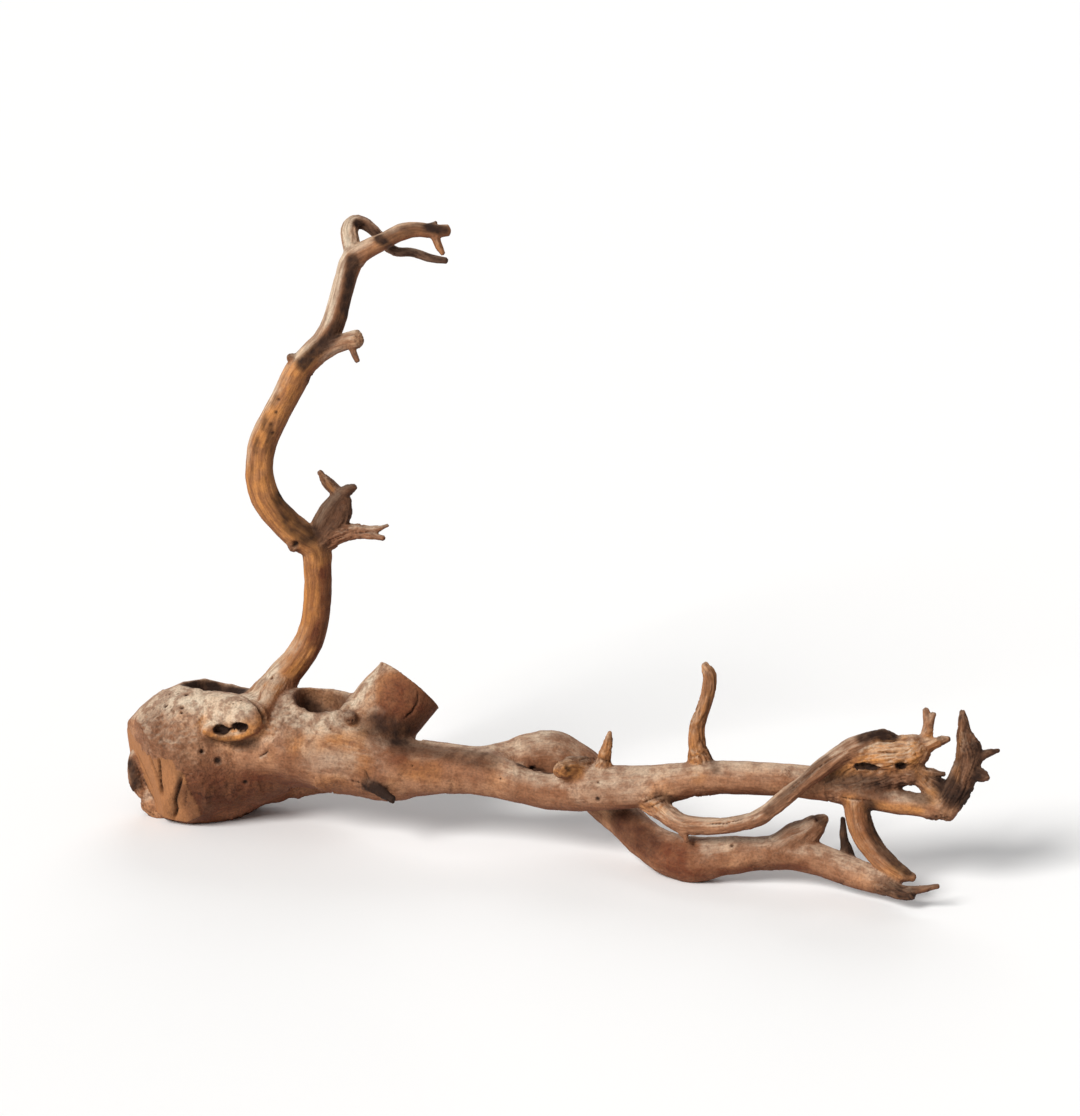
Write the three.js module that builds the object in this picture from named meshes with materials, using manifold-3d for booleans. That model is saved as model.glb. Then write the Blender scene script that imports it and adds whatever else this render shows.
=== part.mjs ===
// A bogwood root as it lies on a table: a hewn burl on the left, a long trunk to the right, a tall
// crooked limb that rises from the burl, and a second trunk that humps over behind the first and
// comes down under it to the table. It grew as one piece, so it is one solid. Millimetres, +Z up.
import * as THREE from "three";
import { mergeVertices } from "three/addons/utils/BufferGeometryUtils.js";
import Module from "manifold-3d";

const wasm = await Module();
wasm.setup();

// Each limb is a list of stations, [across, up, away, radius], read off a front view of the root
// taken from a little above. Across and up lie in the picture and away runs into it. All are
// millimetres at the view's middle depth.
const VIEW_TILT = THREE.MathUtils.degToRad(18);
const VIEW_DISTANCE = 3000;
const VIEW_CENTRE = { across: -13, up: 205, away: 70 };

// How long the drawn root is, and how long it is to be.
const DRAWN_LENGTH = 524;
const OVERALL_LENGTH = 524;
const SCALE = OVERALL_LENGTH / DRAWN_LENGTH;

// What the drawn root is moved by, so that it stands centred over the origin.
const SHIFT = new THREE.Vector3(6.1, -98.8, 0);

// The uneven girth of grown wood, from -1 to 1, round a limb and along it.
const girth = (angle, along, seed) =>
  0.55 * Math.sin(2 * angle + along / 21 + seed) +
  0.3 * Math.sin(3 * angle - along / 15 + 2 * seed) +
  0.15 * Math.sin(5 * angle + along / 10 + 3 * seed);

// sides is how many faces go round a limb, step the length of a face, relief the share of the radius
// that its girth varies by, and blunt the length of its end over its radius: 1 is round, 0.3 is broken off.
const LIMBS = {
  trunk: {
    sides: 16, step: 14, relief: 0.06, blunt: 0.6,
    stations: [
      [-196, 93, 128, 24], [-175, 91, 118, 20.5], [-157, 92, 111, 22.5], [-139, 90, 106, 25],
      [-121, 86, 101, 23], [-103, 80.5, 96, 20], [-87, 79.5, 91, 16.5], [-67, 79, 85, 15.2],
      [-49, 77.5, 80, 14.5], [-33, 72.3, 75, 12.4], [-19, 68, 71, 10.6], [-5, 65.7, 66, 11],
      [13, 68, 60, 14.2], [37, 68, 52, 12.9], [59, 70, 46, 12.4], [81, 73.4, 40, 10.9],
      [104, 73.8, 33, 10.2], [125, 72.9, 27, 9.8], [149, 71, 21, 9.7], [175, 66, 15, 9.6],
      [197, 60.2, 10, 8], [218, 56.5, 6, 7.2], [233, 53.2, 4, 5.5],
    ],
  },
  shoulder: {
    sides: 14, step: 14, relief: 0.04, blunt: 1,
    stations: [
      [-190, 100, 130, 25], [-165, 98.5, 122, 28.5], [-146, 98.5, 115, 30.5], [-126, 94.5, 109, 24.5],
      [-104, 88, 102, 15],
    ],
  },
  burl_tail: {
    sides: 12, step: 16, relief: 0.05, blunt: 1,
    stations: [
      [-204, 78, 148, 29], [-181, 78.5, 150, 20.8], [-163, 76.5, 150, 14.4], [-145, 74.5, 146, 9.9],
      [-126, 78, 134, 8],
    ],
  },
  lower_trunk: {
    sides: 14, step: 13, relief: 0.05, blunt: 0.7,
    stations: [
      [-52, 78.5, 86, 13], [-31, 84, 92, 12.7], [-19, 86, 94, 14.8], [-7, 86, 95, 15.8],
      [5, 81.5, 95, 15.2], [17, 72.5, 94, 14.6], [26, 60.5, 88, 13], [37, 48.8, 77, 11.4],
      [53, 34, 60, 11.5], [66, 27, 49, 12.9], [78, 24.6, 43, 13.8], [98, 27, 37, 11.8],
      [119, 28.4, 33, 10.4], [140, 28.5, 29, 10.8], [161, 21.9, 24, 9.3], [178, 15.6, 16, 8.6],
      [193, 11, 8, 7.3], [200, 10.8, 5, 5],
    ],
  },
  tall_limb: {
    sides: 11, step: 11, relief: 0.05, blunt: 0.4,
    stations: [
      [-187, 107, 135, 13.5], [-180.5, 118, 130, 11.2], [-169.8, 132.2, 125, 9.5], [-159.3, 144.5, 120, 8.9],
      [-152, 156, 116, 8.9], [-148.4, 168, 112, 8.7], [-147, 185, 106, 8.3], [-147, 201, 100, 8.3],
      [-148.5, 212, 96, 8.9], [-157.3, 219.8, 92, 9.2], [-167.4, 228.7, 89, 8.9], [-177.2, 240.8, 85, 8.9],
      [-181.3, 253.6, 81, 8.8], [-181.4, 265, 77, 8.4], [-179.2, 276, 74, 8.8], [-172.7, 290, 69, 8.2],
      [-164.5, 305, 65, 8.2], [-158, 318.7, 61, 8.7], [-150.3, 327.3, 58, 7.9], [-142.6, 336.1, 56, 6.9],
      [-137, 347.8, 53, 6.7], [-133.2, 360, 49, 6.1], [-130, 373, 45, 6.3], [-126, 384.3, 42, 7],
      [-117, 391.2, 39, 6], [-106, 396.3, 37, 5.3], [-97, 401.2, 35, 5.3], [-87, 402.6, 34, 4.4],
      [-78, 401.5, 33, 4.4], [-70, 402.5, 32, 3.4],
    ],
  },
  loop_twig: {
    sides: 7, step: 7, relief: 0.05, blunt: 0.6,
    stations: [
      [-125.5, 387, 43, 5.4], [-127, 395.8, 45, 5], [-127.8, 402.3, 47, 4.9], [-125, 406.8, 49, 4.8],
      [-119.6, 406.4, 51, 4], [-114.2, 402.7, 51, 3.6], [-109, 397.5, 50, 3.3], [-105, 392.5, 48, 3.1],
      [-99.5, 389.5, 46, 2.9], [-90, 389, 44, 2.7], [-79, 385.4, 42, 2.4], [-70, 384, 41, 2],
    ],
  },
  tip_twig: {
    sides: 6, step: 7, relief: 0.05, blunt: 0.6,
    stations: [[-77, 400, 33, 3], [-74.6, 393, 32, 2.6], [-72, 388, 31, 1.6]],
  },
  tip_point: {
    sides: 6, step: 7, relief: 0.05, blunt: 1,
    stations: [[-80, 403, 34, 3.2], [-76.3, 406.6, 34, 1.3]],
  },
  high_stub: {
    sides: 9, step: 8, relief: 0.05, blunt: 0.35,
    stations: [[-148, 328, 58, 6.4], [-135.5, 333.7, 52, 5.3], [-127, 336.5, 48, 5.2], [-123, 337, 46, 5.8]],
  },
  high_twig: {
    sides: 6, step: 7, relief: 0.05, blunt: 0.5,
    stations: [[-127, 334, 47, 2.7], [-125.3, 328.8, 46, 2.1], [-123, 323.5, 45, 1.6]],
  },
  high_corner: {
    sides: 8, step: 7, relief: 0.05, blunt: 0.4,
    stations: [[-156, 319, 61, 6], [-162.5, 325.5, 58, 3.2]],
  },
  bend_knot: {
    sides: 8, step: 7, relief: 0.05, blunt: 0.4,
    stations: [[-156, 217, 92, 6.5], [-163, 211.5, 88, 3.8]],
  },
  fan: {
    sides: 8, step: 8, relief: 0.08, blunt: 0.6,
    stations: [
      [-146, 219, 95, 7.4], [-140.5, 232, 89, 6.6], [-134.5, 242, 85, 5], [-129, 246.3, 83, 3.8],
      [-124.8, 248, 82, 2.1],
    ],
  },
  fan_edge: {
    sides: 8, step: 8, relief: 0.08, blunt: 0.8,
    stations: [[-141, 220, 92, 7], [-132.5, 231, 87, 6], [-129.8, 240, 84, 3.6]],
  },
  fan_spike: {
    sides: 6, step: 8, relief: 0.08, blunt: 1,
    stations: [[-133, 243, 85, 3.8], [-139.8, 249.8, 86, 3.2], [-144.6, 256, 87, 1.2]],
  },
  upper_prong: {
    sides: 8, step: 8, relief: 0.08, blunt: 0.8,
    stations: [
      [-146, 214, 96, 8], [-133, 219.7, 89, 6.8], [-123.5, 221.6, 85, 4.4], [-114, 222, 82, 3],
      [-105, 225.1, 80, 1.3],
    ],
  },
  lower_prong: {
    sides: 6, step: 8, relief: 0.08, blunt: 0.6,
    stations: [[-130, 219, 88, 5], [-119, 219, 82, 3.3], [-107.4, 217, 79, 1.9]],
  },
  cut_stub: {
    sides: 16, step: 16, relief: 0.03, blunt: 0.5,
    stations: [
      [-121, 89, 106, 21], [-110.5, 104, 107, 22.2], [-102, 116.6, 108, 22.8], [-92.8, 128.2, 108, 22.2],
      [-81, 145, 108, 22],
    ],
  },
  burl_nub: {
    sides: 12, step: 8, relief: 0.06, blunt: 0.4,
    stations: [[-216, 112, 122, 15], [-202, 112, 108, 13.5], [-190, 110, 99, 11.5], [-185, 109, 97, 9.5]],
  },
  stub_knot: {
    sides: 7, step: 6, relief: 0.05, blunt: 0.4,
    stations: [[-127, 108, 92, 6.5], [-127.5, 110, 82, 3.6]],
  },
  trunk_spur: {
    sides: 7, step: 8, relief: 0.08, blunt: 0.4,
    stations: [[-118, 74, 88, 7], [-110, 66, 79, 4], [-101.5, 60.5, 74, 2.8]],
  },
  front_knot: {
    sides: 8, step: 7, relief: 0.08, blunt: 0.35,
    stations: [[12, 75, 58, 8], [4, 78.5, 50, 6.3], [-2, 78.5, 45, 5]],
  },
  middle_spur: {
    sides: 7, step: 8, relief: 0.08, blunt: 1,
    stations: [[24, 77, 55, 6.8], [25.3, 86, 52, 4.8], [27, 95, 51, 3.4], [28, 100.5, 51, 1.4]],
  },
  tall_twig: {
    sides: 8, step: 10, relief: 0.08, blunt: 0.6,
    stations: [
      [83, 76, 42, 11], [82, 84, 40, 8.6], [80.5, 93, 38, 5.6], [80.5, 103, 36, 4.9], [84.5, 115, 34, 4.4],
      [87.6, 126, 33, 4.4], [88, 135, 32, 4.3], [85, 142, 32, 2.1],
    ],
  },
  arch: {
    sides: 9, step: 11, relief: 0.05, blunt: 0.8,
    stations: [
      [52, 62, 46, 9.5], [62.5, 51.8, 38, 6.4], [72, 45.3, 31, 5.9], [83.5, 44.4, 26, 5.2],
      [98, 45.2, 20, 4.8], [113, 48.2, 15, 5.2], [123, 53.4, 11, 5.2], [134.5, 62.5, 8, 5.3],
      [146, 72, 6, 5.2], [158, 81.5, 5, 5.6], [170, 89.7, 6, 6], [182.5, 95.6, 8, 5.6],
      [192, 98.2, 10, 5], [197, 98, 10, 3.5],
    ],
  },
  arch_spur: {
    sides: 6, step: 8, relief: 0.05, blunt: 1,
    stations: [[71, 44, 31, 3.8], [74.5, 36, 28, 1.2]],
  },
  head: {
    sides: 13, step: 11, relief: 0.09, blunt: 0.7,
    stations: [
      [160, 74, 18, 7], [171, 81, 15, 10], [182, 84.5, 13, 12.2], [195, 86, 11, 12.8],
      [207, 88, 10, 11.5], [216, 92, 9, 7.2],
    ],
  },
  jaw: {
    sides: 9, step: 9, relief: 0.08, blunt: 0.8,
    stations: [
      [172, 70, 16, 10], [190, 74, 13, 11], [206, 77, 10, 8.4], [213.5, 74, 9, 5.4],
      [221, 66, 7, 4.4], [229, 57, 5, 5],
    ],
  },
  jaw_finger: {
    sides: 6, step: 9, relief: 0.08, blunt: 0.8,
    stations: [[212, 79, 9, 4.5], [220, 78, 6, 2.8], [228.6, 75.8, 5, 1.6]],
  },
  head_prong: {
    sides: 7, step: 8, relief: 0.08, blunt: 0.7,
    stations: [[216, 91, 9, 5.2], [218.6, 100, 9, 3.8], [219.4, 107, 9, 3.2], [217.8, 114.5, 8, 2]],
  },
  head_prong_side: {
    sides: 6, step: 8, relief: 0.08, blunt: 0.7,
    stations: [[219, 103, 9, 3], [222.5, 112, 7, 1.6]],
  },
  head_point: {
    sides: 6, step: 8, relief: 0.08, blunt: 0.8,
    stations: [[215, 92.3, 9, 5.6], [225, 95.5, 5, 3.3], [231.5, 97, 3, 1.7]],
  },
  claw: {
    sides: 9, step: 10, relief: 0.08, blunt: 0.7,
    stations: [
      [229, 53.5, 5, 6.5], [234.5, 62, 5, 8.3], [240.5, 74, 4, 8.6], [243.3, 85.5, 3, 8],
      [241.2, 97, 3, 5.2], [240.4, 106.5, 3, 3.7], [239.8, 113.5, 3, 2.1],
    ],
  },
  claw_point: {
    sides: 7, step: 8, relief: 0.08, blunt: 0.8,
    stations: [[243.5, 80, 3, 6.8], [247, 91, 2, 4.7], [245.5, 99.5, 1, 1.9]],
  },
  claw_side: {
    sides: 6, step: 9, relief: 0.08, blunt: 0.8,
    stations: [[247, 85, 3, 4.2], [255, 88.4, 0, 2.6], [261.3, 90.1, -2, 1.5]],
  },
  claw_heel: {
    sides: 7, step: 8, relief: 0.08, blunt: 0.6,
    stations: [[243, 77, 3, 5.8], [250.5, 75.5, 0, 4.4], [255, 73.5, -2, 2.1]],
  },
  strut: {
    sides: 9, step: 10, relief: 0.05, blunt: 0.8,
    stations: [
      [177, 63, 15, 9], [177.4, 52, 13, 7.6], [181, 39.7, 12, 7.3], [187.5, 30.3, 10, 6.9],
      [194.5, 22.5, 7, 6.4], [202, 16.8, 4, 5.2], [210, 14, 2, 2.7],
    ],
  },
  horn: {
    sides: 9, step: 9, relief: 0.05, blunt: 0.6,
    stations: [
      [128, 27.5, 31, 9.6], [138.5, 35.6, 28, 9.6], [148.5, 42.5, 26, 7.6], [154, 46.8, 26, 5],
      [158, 49.4, 26, 2.4],
    ],
  },
  thin_twig: {
    sides: 6, step: 10, relief: 0.05, blunt: 0.8,
    stations: [[171.5, 19, 22, 5.2], [171.6, 28.5, 25, 3.4], [170, 39, 25, 2.3], [169.6, 48.8, 25, 1.6]],
  },
  end_twig: {
    sides: 7, step: 8, relief: 0.08, blunt: 0.4,
    stations: [[192, 9.8, 7, 5.8], [201, 5.8, 0, 4.7], [207, 3.8, -5, 3.8], [209.5, 2.4, -8, 2.5]],
  },
  end_point: {
    sides: 6, step: 9, relief: 0.05, blunt: 0.8,
    stations: [[203, 5.2, -1, 3.6], [214.5, 6.9, -6, 2.5], [225, 8.6, -8, 1.6]],
  },
  bark_boss: {
    sides: 7, step: 5, relief: 0.05, blunt: 0.6,
    stations: [[134, 74, 24, 6], [134.5, 76.2, 17, 3.4]],
  },
};

const BURL = {
  sides: 20, step: 10, relief: 0.03, blunt: 0.15,
  stations: [
    [-260, 88, 138, 18.5], [-251, 88.5, 138, 28.5], [-240, 87.5, 139, 38.5], [-226, 88.7, 139.5, 43.2],
    [-214, 90, 140, 43.6], [-203, 91, 140, 39.8], [-186, 92, 138, 34.5], [-166, 92, 132, 27],
  ],
};

// The axe cuts at the foot of the burl: a point of the cut face, and which way it faces.
const AXE_CUTS = [
  { at: [-248, 86, 112], faces: [-0.88, -0.16, -0.44] },
  { at: [-229, 75.6, 99], faces: [-0.6, -0.42, -0.68] },
  { at: [-225, 70, 101], faces: [0.16, -0.66, -0.73] },
];
const AXE_CUT_WIDTH = 90;

// The saw cut across the stub: a point of it, and which way it faces.
const SAW_CUT = { at: [-96, 133.6, 108], faces: [0.64, 0.76, 0.16] };
const SAW_CUT_WIDTH = 90;

// The rotted hollows: middle, half sizes across, from front to back and upright, and lean towards the front.
const HOLLOWS = [
  { at: [-208, 133, 131], half: [19, 12, 17], lean: 0.1 },
  { at: [-145, 123, 104], half: [16, 17, 22], lean: 0.35 },
  { at: [-206, 101, 96], half: [4.4, 6, 3.4], lean: 0.3 },
  { at: [-194.5, 103, 89], half: [3.8, 6, 3.2], lean: 0.3 },
  { at: [183, 80, 0.5], half: [8.5, 5.5, 2.2], lean: 0.1 },
  { at: [203.5, 82, -0.5], half: [4.4, 5.5, 2.8], lean: 0.2 },
];

// The feet of the burl, in front and at the back: middle and half sizes.
const BURL_FEET = [
  { at: [-208, 66, 140], half: [24, 18, 20] },
  { at: [-210, 74, 161], half: [31, 27, 20.5] },
];

// How much larger than drawn a thing is at this depth, because the view has perspective.
const spread = (away) => SCALE * (1 + (away - VIEW_CENTRE.away) / VIEW_DISTANCE);

// A direction of the view, as a direction of the standing root.
const turned = (across, up, away) =>
  new THREE.Vector3(
    across,
    away * Math.cos(VIEW_TILT) + up * Math.sin(VIEW_TILT),
    up * Math.cos(VIEW_TILT) - away * Math.sin(VIEW_TILT),
  );

// A point of the view, as a point of the standing root.
function seen(across, up, away) {
  const k = spread(away);
  const x = VIEW_CENTRE.across + (across - VIEW_CENTRE.across) * k;
  const z = VIEW_CENTRE.up + (up - VIEW_CENTRE.up) * k;
  return turned(x, z, away * SCALE).addScaledVector(SHIFT, SCALE);
}

// The sections of a limb from end to end: centre, tangent, radius and how far along.
function sections({ step, stations }) {
  const centres = stations.map(([across, up, away]) => seen(across, up, away));
  const radii = stations.map(([, , away, radius]) => radius * spread(away));
  const curve = new THREE.CatmullRomCurve3(centres, false, "centripetal");
  const rings = [];
  let along = 0;
  for (let i = 0; i < stations.length - 1; i++) {
    const length = centres[i].distanceTo(centres[i + 1]);
    const parts = Math.max(1, Math.round(length / step));
    const last = i === stations.length - 2 ? 1 : 0;
    for (let j = 0; j < parts + last; j++) {
      const share = j / parts;
      const t = (i + share) / (stations.length - 1);
      rings.push({
        centre: curve.getPoint(t),
        tangent: curve.getTangent(t),
        radius: THREE.MathUtils.lerp(radii[i], radii[i + 1], share * share * (3 - 2 * share)),
        along: along + length * share,
      });
    }
    along += length;
  }
  return rings;
}

// The rings of a rounded end, from its limb outwards, way being -1 at the start and 1 at the end.
function dome(ring, way, blunt, sides) {
  const shares = sides < 9 ? [0.7] : [0.55, 0.87];
  return shares.map((share) => ({
    ...ring,
    centre: ring.centre.clone().addScaledVector(ring.tangent, way * ring.radius * blunt * share),
    radius: ring.radius * Math.sqrt(1 - share * share),
  }));
}

// The outside of a limb, closed at both ends, as a geometry.
function limbGeometry(description, seed) {
  const { sides, relief, blunt } = description;
  const rings = sections(description);
  const first = rings[0];
  const end = rings[rings.length - 1];
  rings.unshift(...dome(first, -1, blunt, sides).reverse());
  rings.push(...dome(end, 1, blunt, sides));

  // A section keeps its turn from ring to ring, and its corners lie as far outside the circle as its
  // faces lie inside it.
  const fullness = (1 + 1 / Math.cos(Math.PI / sides)) / 2;
  const positions = [];
  const side = turned(0, 0, 1);
  for (const { centre, tangent, radius, along } of rings) {
    side.addScaledVector(tangent, -side.dot(tangent)).normalize();
    const other = new THREE.Vector3().crossVectors(tangent, side);
    for (let k = 0; k < sides; k++) {
      const angle = (2 * Math.PI * k) / sides;
      const r = radius * fullness * (1 + relief * girth(angle, along, seed));
      const p = centre.clone();
      p.addScaledVector(side, r * Math.cos(angle)).addScaledVector(other, r * Math.sin(angle));
      positions.push(p.x, p.y, p.z);
    }
  }
  const tip = (ring, way) => ring.centre.clone().addScaledVector(ring.tangent, way * ring.radius * blunt);
  const startPoint = positions.push(...tip(first, -1)) / 3 - 1;
  const endPoint = positions.push(...tip(end, 1)) / 3 - 1;

  const faces = [];
  const at = (ring, k) => ring * sides + (k % sides);
  for (let k = 0; k < sides; k++) {
    for (let ring = 0; ring < rings.length - 1; ring++) {
      faces.push(at(ring, k), at(ring, k + 1), at(ring + 1, k + 1));
      faces.push(at(ring, k), at(ring + 1, k + 1), at(ring + 1, k));
    }
    faces.push(startPoint, at(0, k + 1), at(0, k));
    faces.push(endPoint, at(rings.length - 1, k), at(rings.length - 1, k + 1));
  }
  const geometry = new THREE.BufferGeometry();
  geometry.setAttribute("position", new THREE.Float32BufferAttribute(positions, 3));
  geometry.setIndex(faces);
  return geometry;
}

// A closed geometry as a solid that can be joined and cut.
function solid(geometry) {
  geometry.deleteAttribute("normal");
  geometry.deleteAttribute("uv");
  const merged = mergeVertices(geometry, 1e-4);
  const mesh = new wasm.Mesh({
    numProp: 3,
    vertProperties: merged.attributes.position.array,
    triVerts: new Uint32Array(merged.index.array),
  });
  return new wasm.Manifold(mesh);
}

// An egg shape with its middle at a point of the view, upright in the standing root but for its lean.
function egg({ at, half, lean = 0 }) {
  const large = Math.max(...half) > 10;
  const geometry = new THREE.SphereGeometry(1, large ? 13 : 8, large ? 9 : 6);
  geometry.rotateX(Math.PI / 2);
  geometry.scale(...half.map((size) => size * SCALE));
  geometry.rotateX(lean);
  geometry.translate(...seen(...at));
  return solid(geometry);
}

// A block that takes away what lies beyond a plane, over a limited width.
function beyond(point, faces, width) {
  const geometry = new THREE.BoxGeometry(width, width, width);
  geometry.translate(0, 0, width / 2);
  const turn = new THREE.Quaternion();
  turn.setFromUnitVectors(new THREE.Vector3(0, 0, 1), faces.clone().normalize());
  geometry.applyQuaternion(turn);
  geometry.translate(point.x, point.y, point.z);
  return solid(geometry);
}

function hewnBurl() {
  let burl = solid(limbGeometry(BURL, 1.3));
  for (const foot of BURL_FEET) burl = burl.add(egg(foot));
  for (const { at, faces } of AXE_CUTS) {
    burl = burl.subtract(beyond(seen(...at), turned(...faces), AXE_CUT_WIDTH));
  }
  return burl;
}

function bogwoodRoot() {
  const sawn = beyond(seen(...SAW_CUT.at), turned(...SAW_CUT.faces), SAW_CUT_WIDTH);
  let root = hewnBurl();
  Object.entries(LIMBS).forEach(([name, description], i) => {
    const limb = solid(limbGeometry(description, i));
    root = root.add(name === "cut_stub" ? limb.subtract(sawn) : limb);
  });
  for (const hollow of HOLLOWS) root = root.subtract(egg(hollow));
  const table = beyond(new THREE.Vector3(0, 0, 0), new THREE.Vector3(0, 0, -1), 2 * OVERALL_LENGTH);
  return root.subtract(table);
}

function meshOf(name, body, material) {
  const { vertProperties, triVerts } = body.getMesh();
  const geometry = new THREE.BufferGeometry();
  geometry.setAttribute("position", new THREE.BufferAttribute(vertProperties, 3));
  geometry.setIndex(new THREE.BufferAttribute(triVerts, 1));
  const mesh = new THREE.Mesh(geometry, material);
  mesh.name = name;
  return mesh;
}

const WOOD = new THREE.MeshStandardMaterial({ color: 0x9a6c4c, roughness: 0.85, metalness: 0 });

const root = new THREE.Group();
root.add(meshOf("bogwood_root", bogwoodRoot(), WOOD));
export default root;
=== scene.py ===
import math
from dataclasses import dataclass

import bmesh
import bpy
import numpy as np
import openvdb
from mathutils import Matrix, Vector
from mathutils.kdtree import KDTree


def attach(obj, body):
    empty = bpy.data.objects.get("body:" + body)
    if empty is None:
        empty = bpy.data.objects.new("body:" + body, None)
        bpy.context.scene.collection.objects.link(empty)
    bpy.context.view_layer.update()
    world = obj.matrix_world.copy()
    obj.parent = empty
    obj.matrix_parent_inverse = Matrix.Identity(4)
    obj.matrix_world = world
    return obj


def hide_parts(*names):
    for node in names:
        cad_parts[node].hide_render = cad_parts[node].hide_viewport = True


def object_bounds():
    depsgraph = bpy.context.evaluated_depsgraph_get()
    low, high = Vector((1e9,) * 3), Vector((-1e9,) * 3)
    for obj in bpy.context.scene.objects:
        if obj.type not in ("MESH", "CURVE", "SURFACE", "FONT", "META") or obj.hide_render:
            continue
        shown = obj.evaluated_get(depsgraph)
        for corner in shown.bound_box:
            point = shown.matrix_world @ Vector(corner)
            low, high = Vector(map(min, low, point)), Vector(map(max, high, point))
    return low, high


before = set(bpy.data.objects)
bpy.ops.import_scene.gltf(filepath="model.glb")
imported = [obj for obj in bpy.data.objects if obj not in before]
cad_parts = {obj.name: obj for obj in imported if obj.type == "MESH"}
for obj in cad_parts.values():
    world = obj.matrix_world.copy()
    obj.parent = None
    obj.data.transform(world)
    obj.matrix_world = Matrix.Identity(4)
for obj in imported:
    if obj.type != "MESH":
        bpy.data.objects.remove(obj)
CAD_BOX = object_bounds()

MM = 0.001
NODE = "bogwood_root"

# The view that the root was drawn in: across and up lie in the picture, away runs into it, and all are
# millimetres at the view's middle depth. SHIFT brings the root from there to where it stands in the
# frame, and CAMERA_NUDGE brings it to its place in the picture.
VIEW_TILT = math.radians(18)
VIEW_DISTANCE = 3000
VIEW_CENTRE = np.array([-13.0, 205.0, 70.0])
VIEW_HEIGHT = 669.6
SHIFT = np.array([6.1, -98.8, 0.0])
CAMERA_NUDGE = np.array([-0.6, 0.6, 0.0])
SENSOR = 36

# How finely the wood is made, how far from the skin its distance is kept, how much room the grid has
# beyond the root, how many points are placed at once, and how many triangles the wood may have.
VOXEL = 0.75
REACH = 7.0
MARGIN = 30
AT_ONCE = 20000
TRIANGLES = 196000

# The depths at which the view looks for the front of the wood, how far off its skin a limb still marks
# the wood, how far round its point a cut reaches, the fillets of the burl and of its feet, the height up
# to which the skin stays flat on the table, and how dark the tones, stains and painted shade may make the
# wood.
DEPTHS = np.arange(-60, 260, 0.4)
LIMB_REACH = 5
CUT_REACH = 60
BURL_FILLET = 1
FOOT_FILLET = 3
FLAT_BELOW = 0.3
DARKEST = 0.92


@dataclass
class Limb:
    """A limb by its stations, each across, up, away and radius. relief is the share of the radius that
    its girth varies by, and blunt the length of its end over its radius. groove is the depth of its
    fibres' grooves over its radius, twist how fast they wind round it in radians per millimetre, grain
    how clearly its streaks run along it, and dark, warm and grey how much its wood has that colour."""

    stations: list
    relief: float = 0.08
    blunt: float = 0.8
    groove: float = 0.1
    twist: float = 0.0
    grain: float = 1.0
    dark: float = 0.0
    warm: float = 0.0
    grey: float = 0.0


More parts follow.
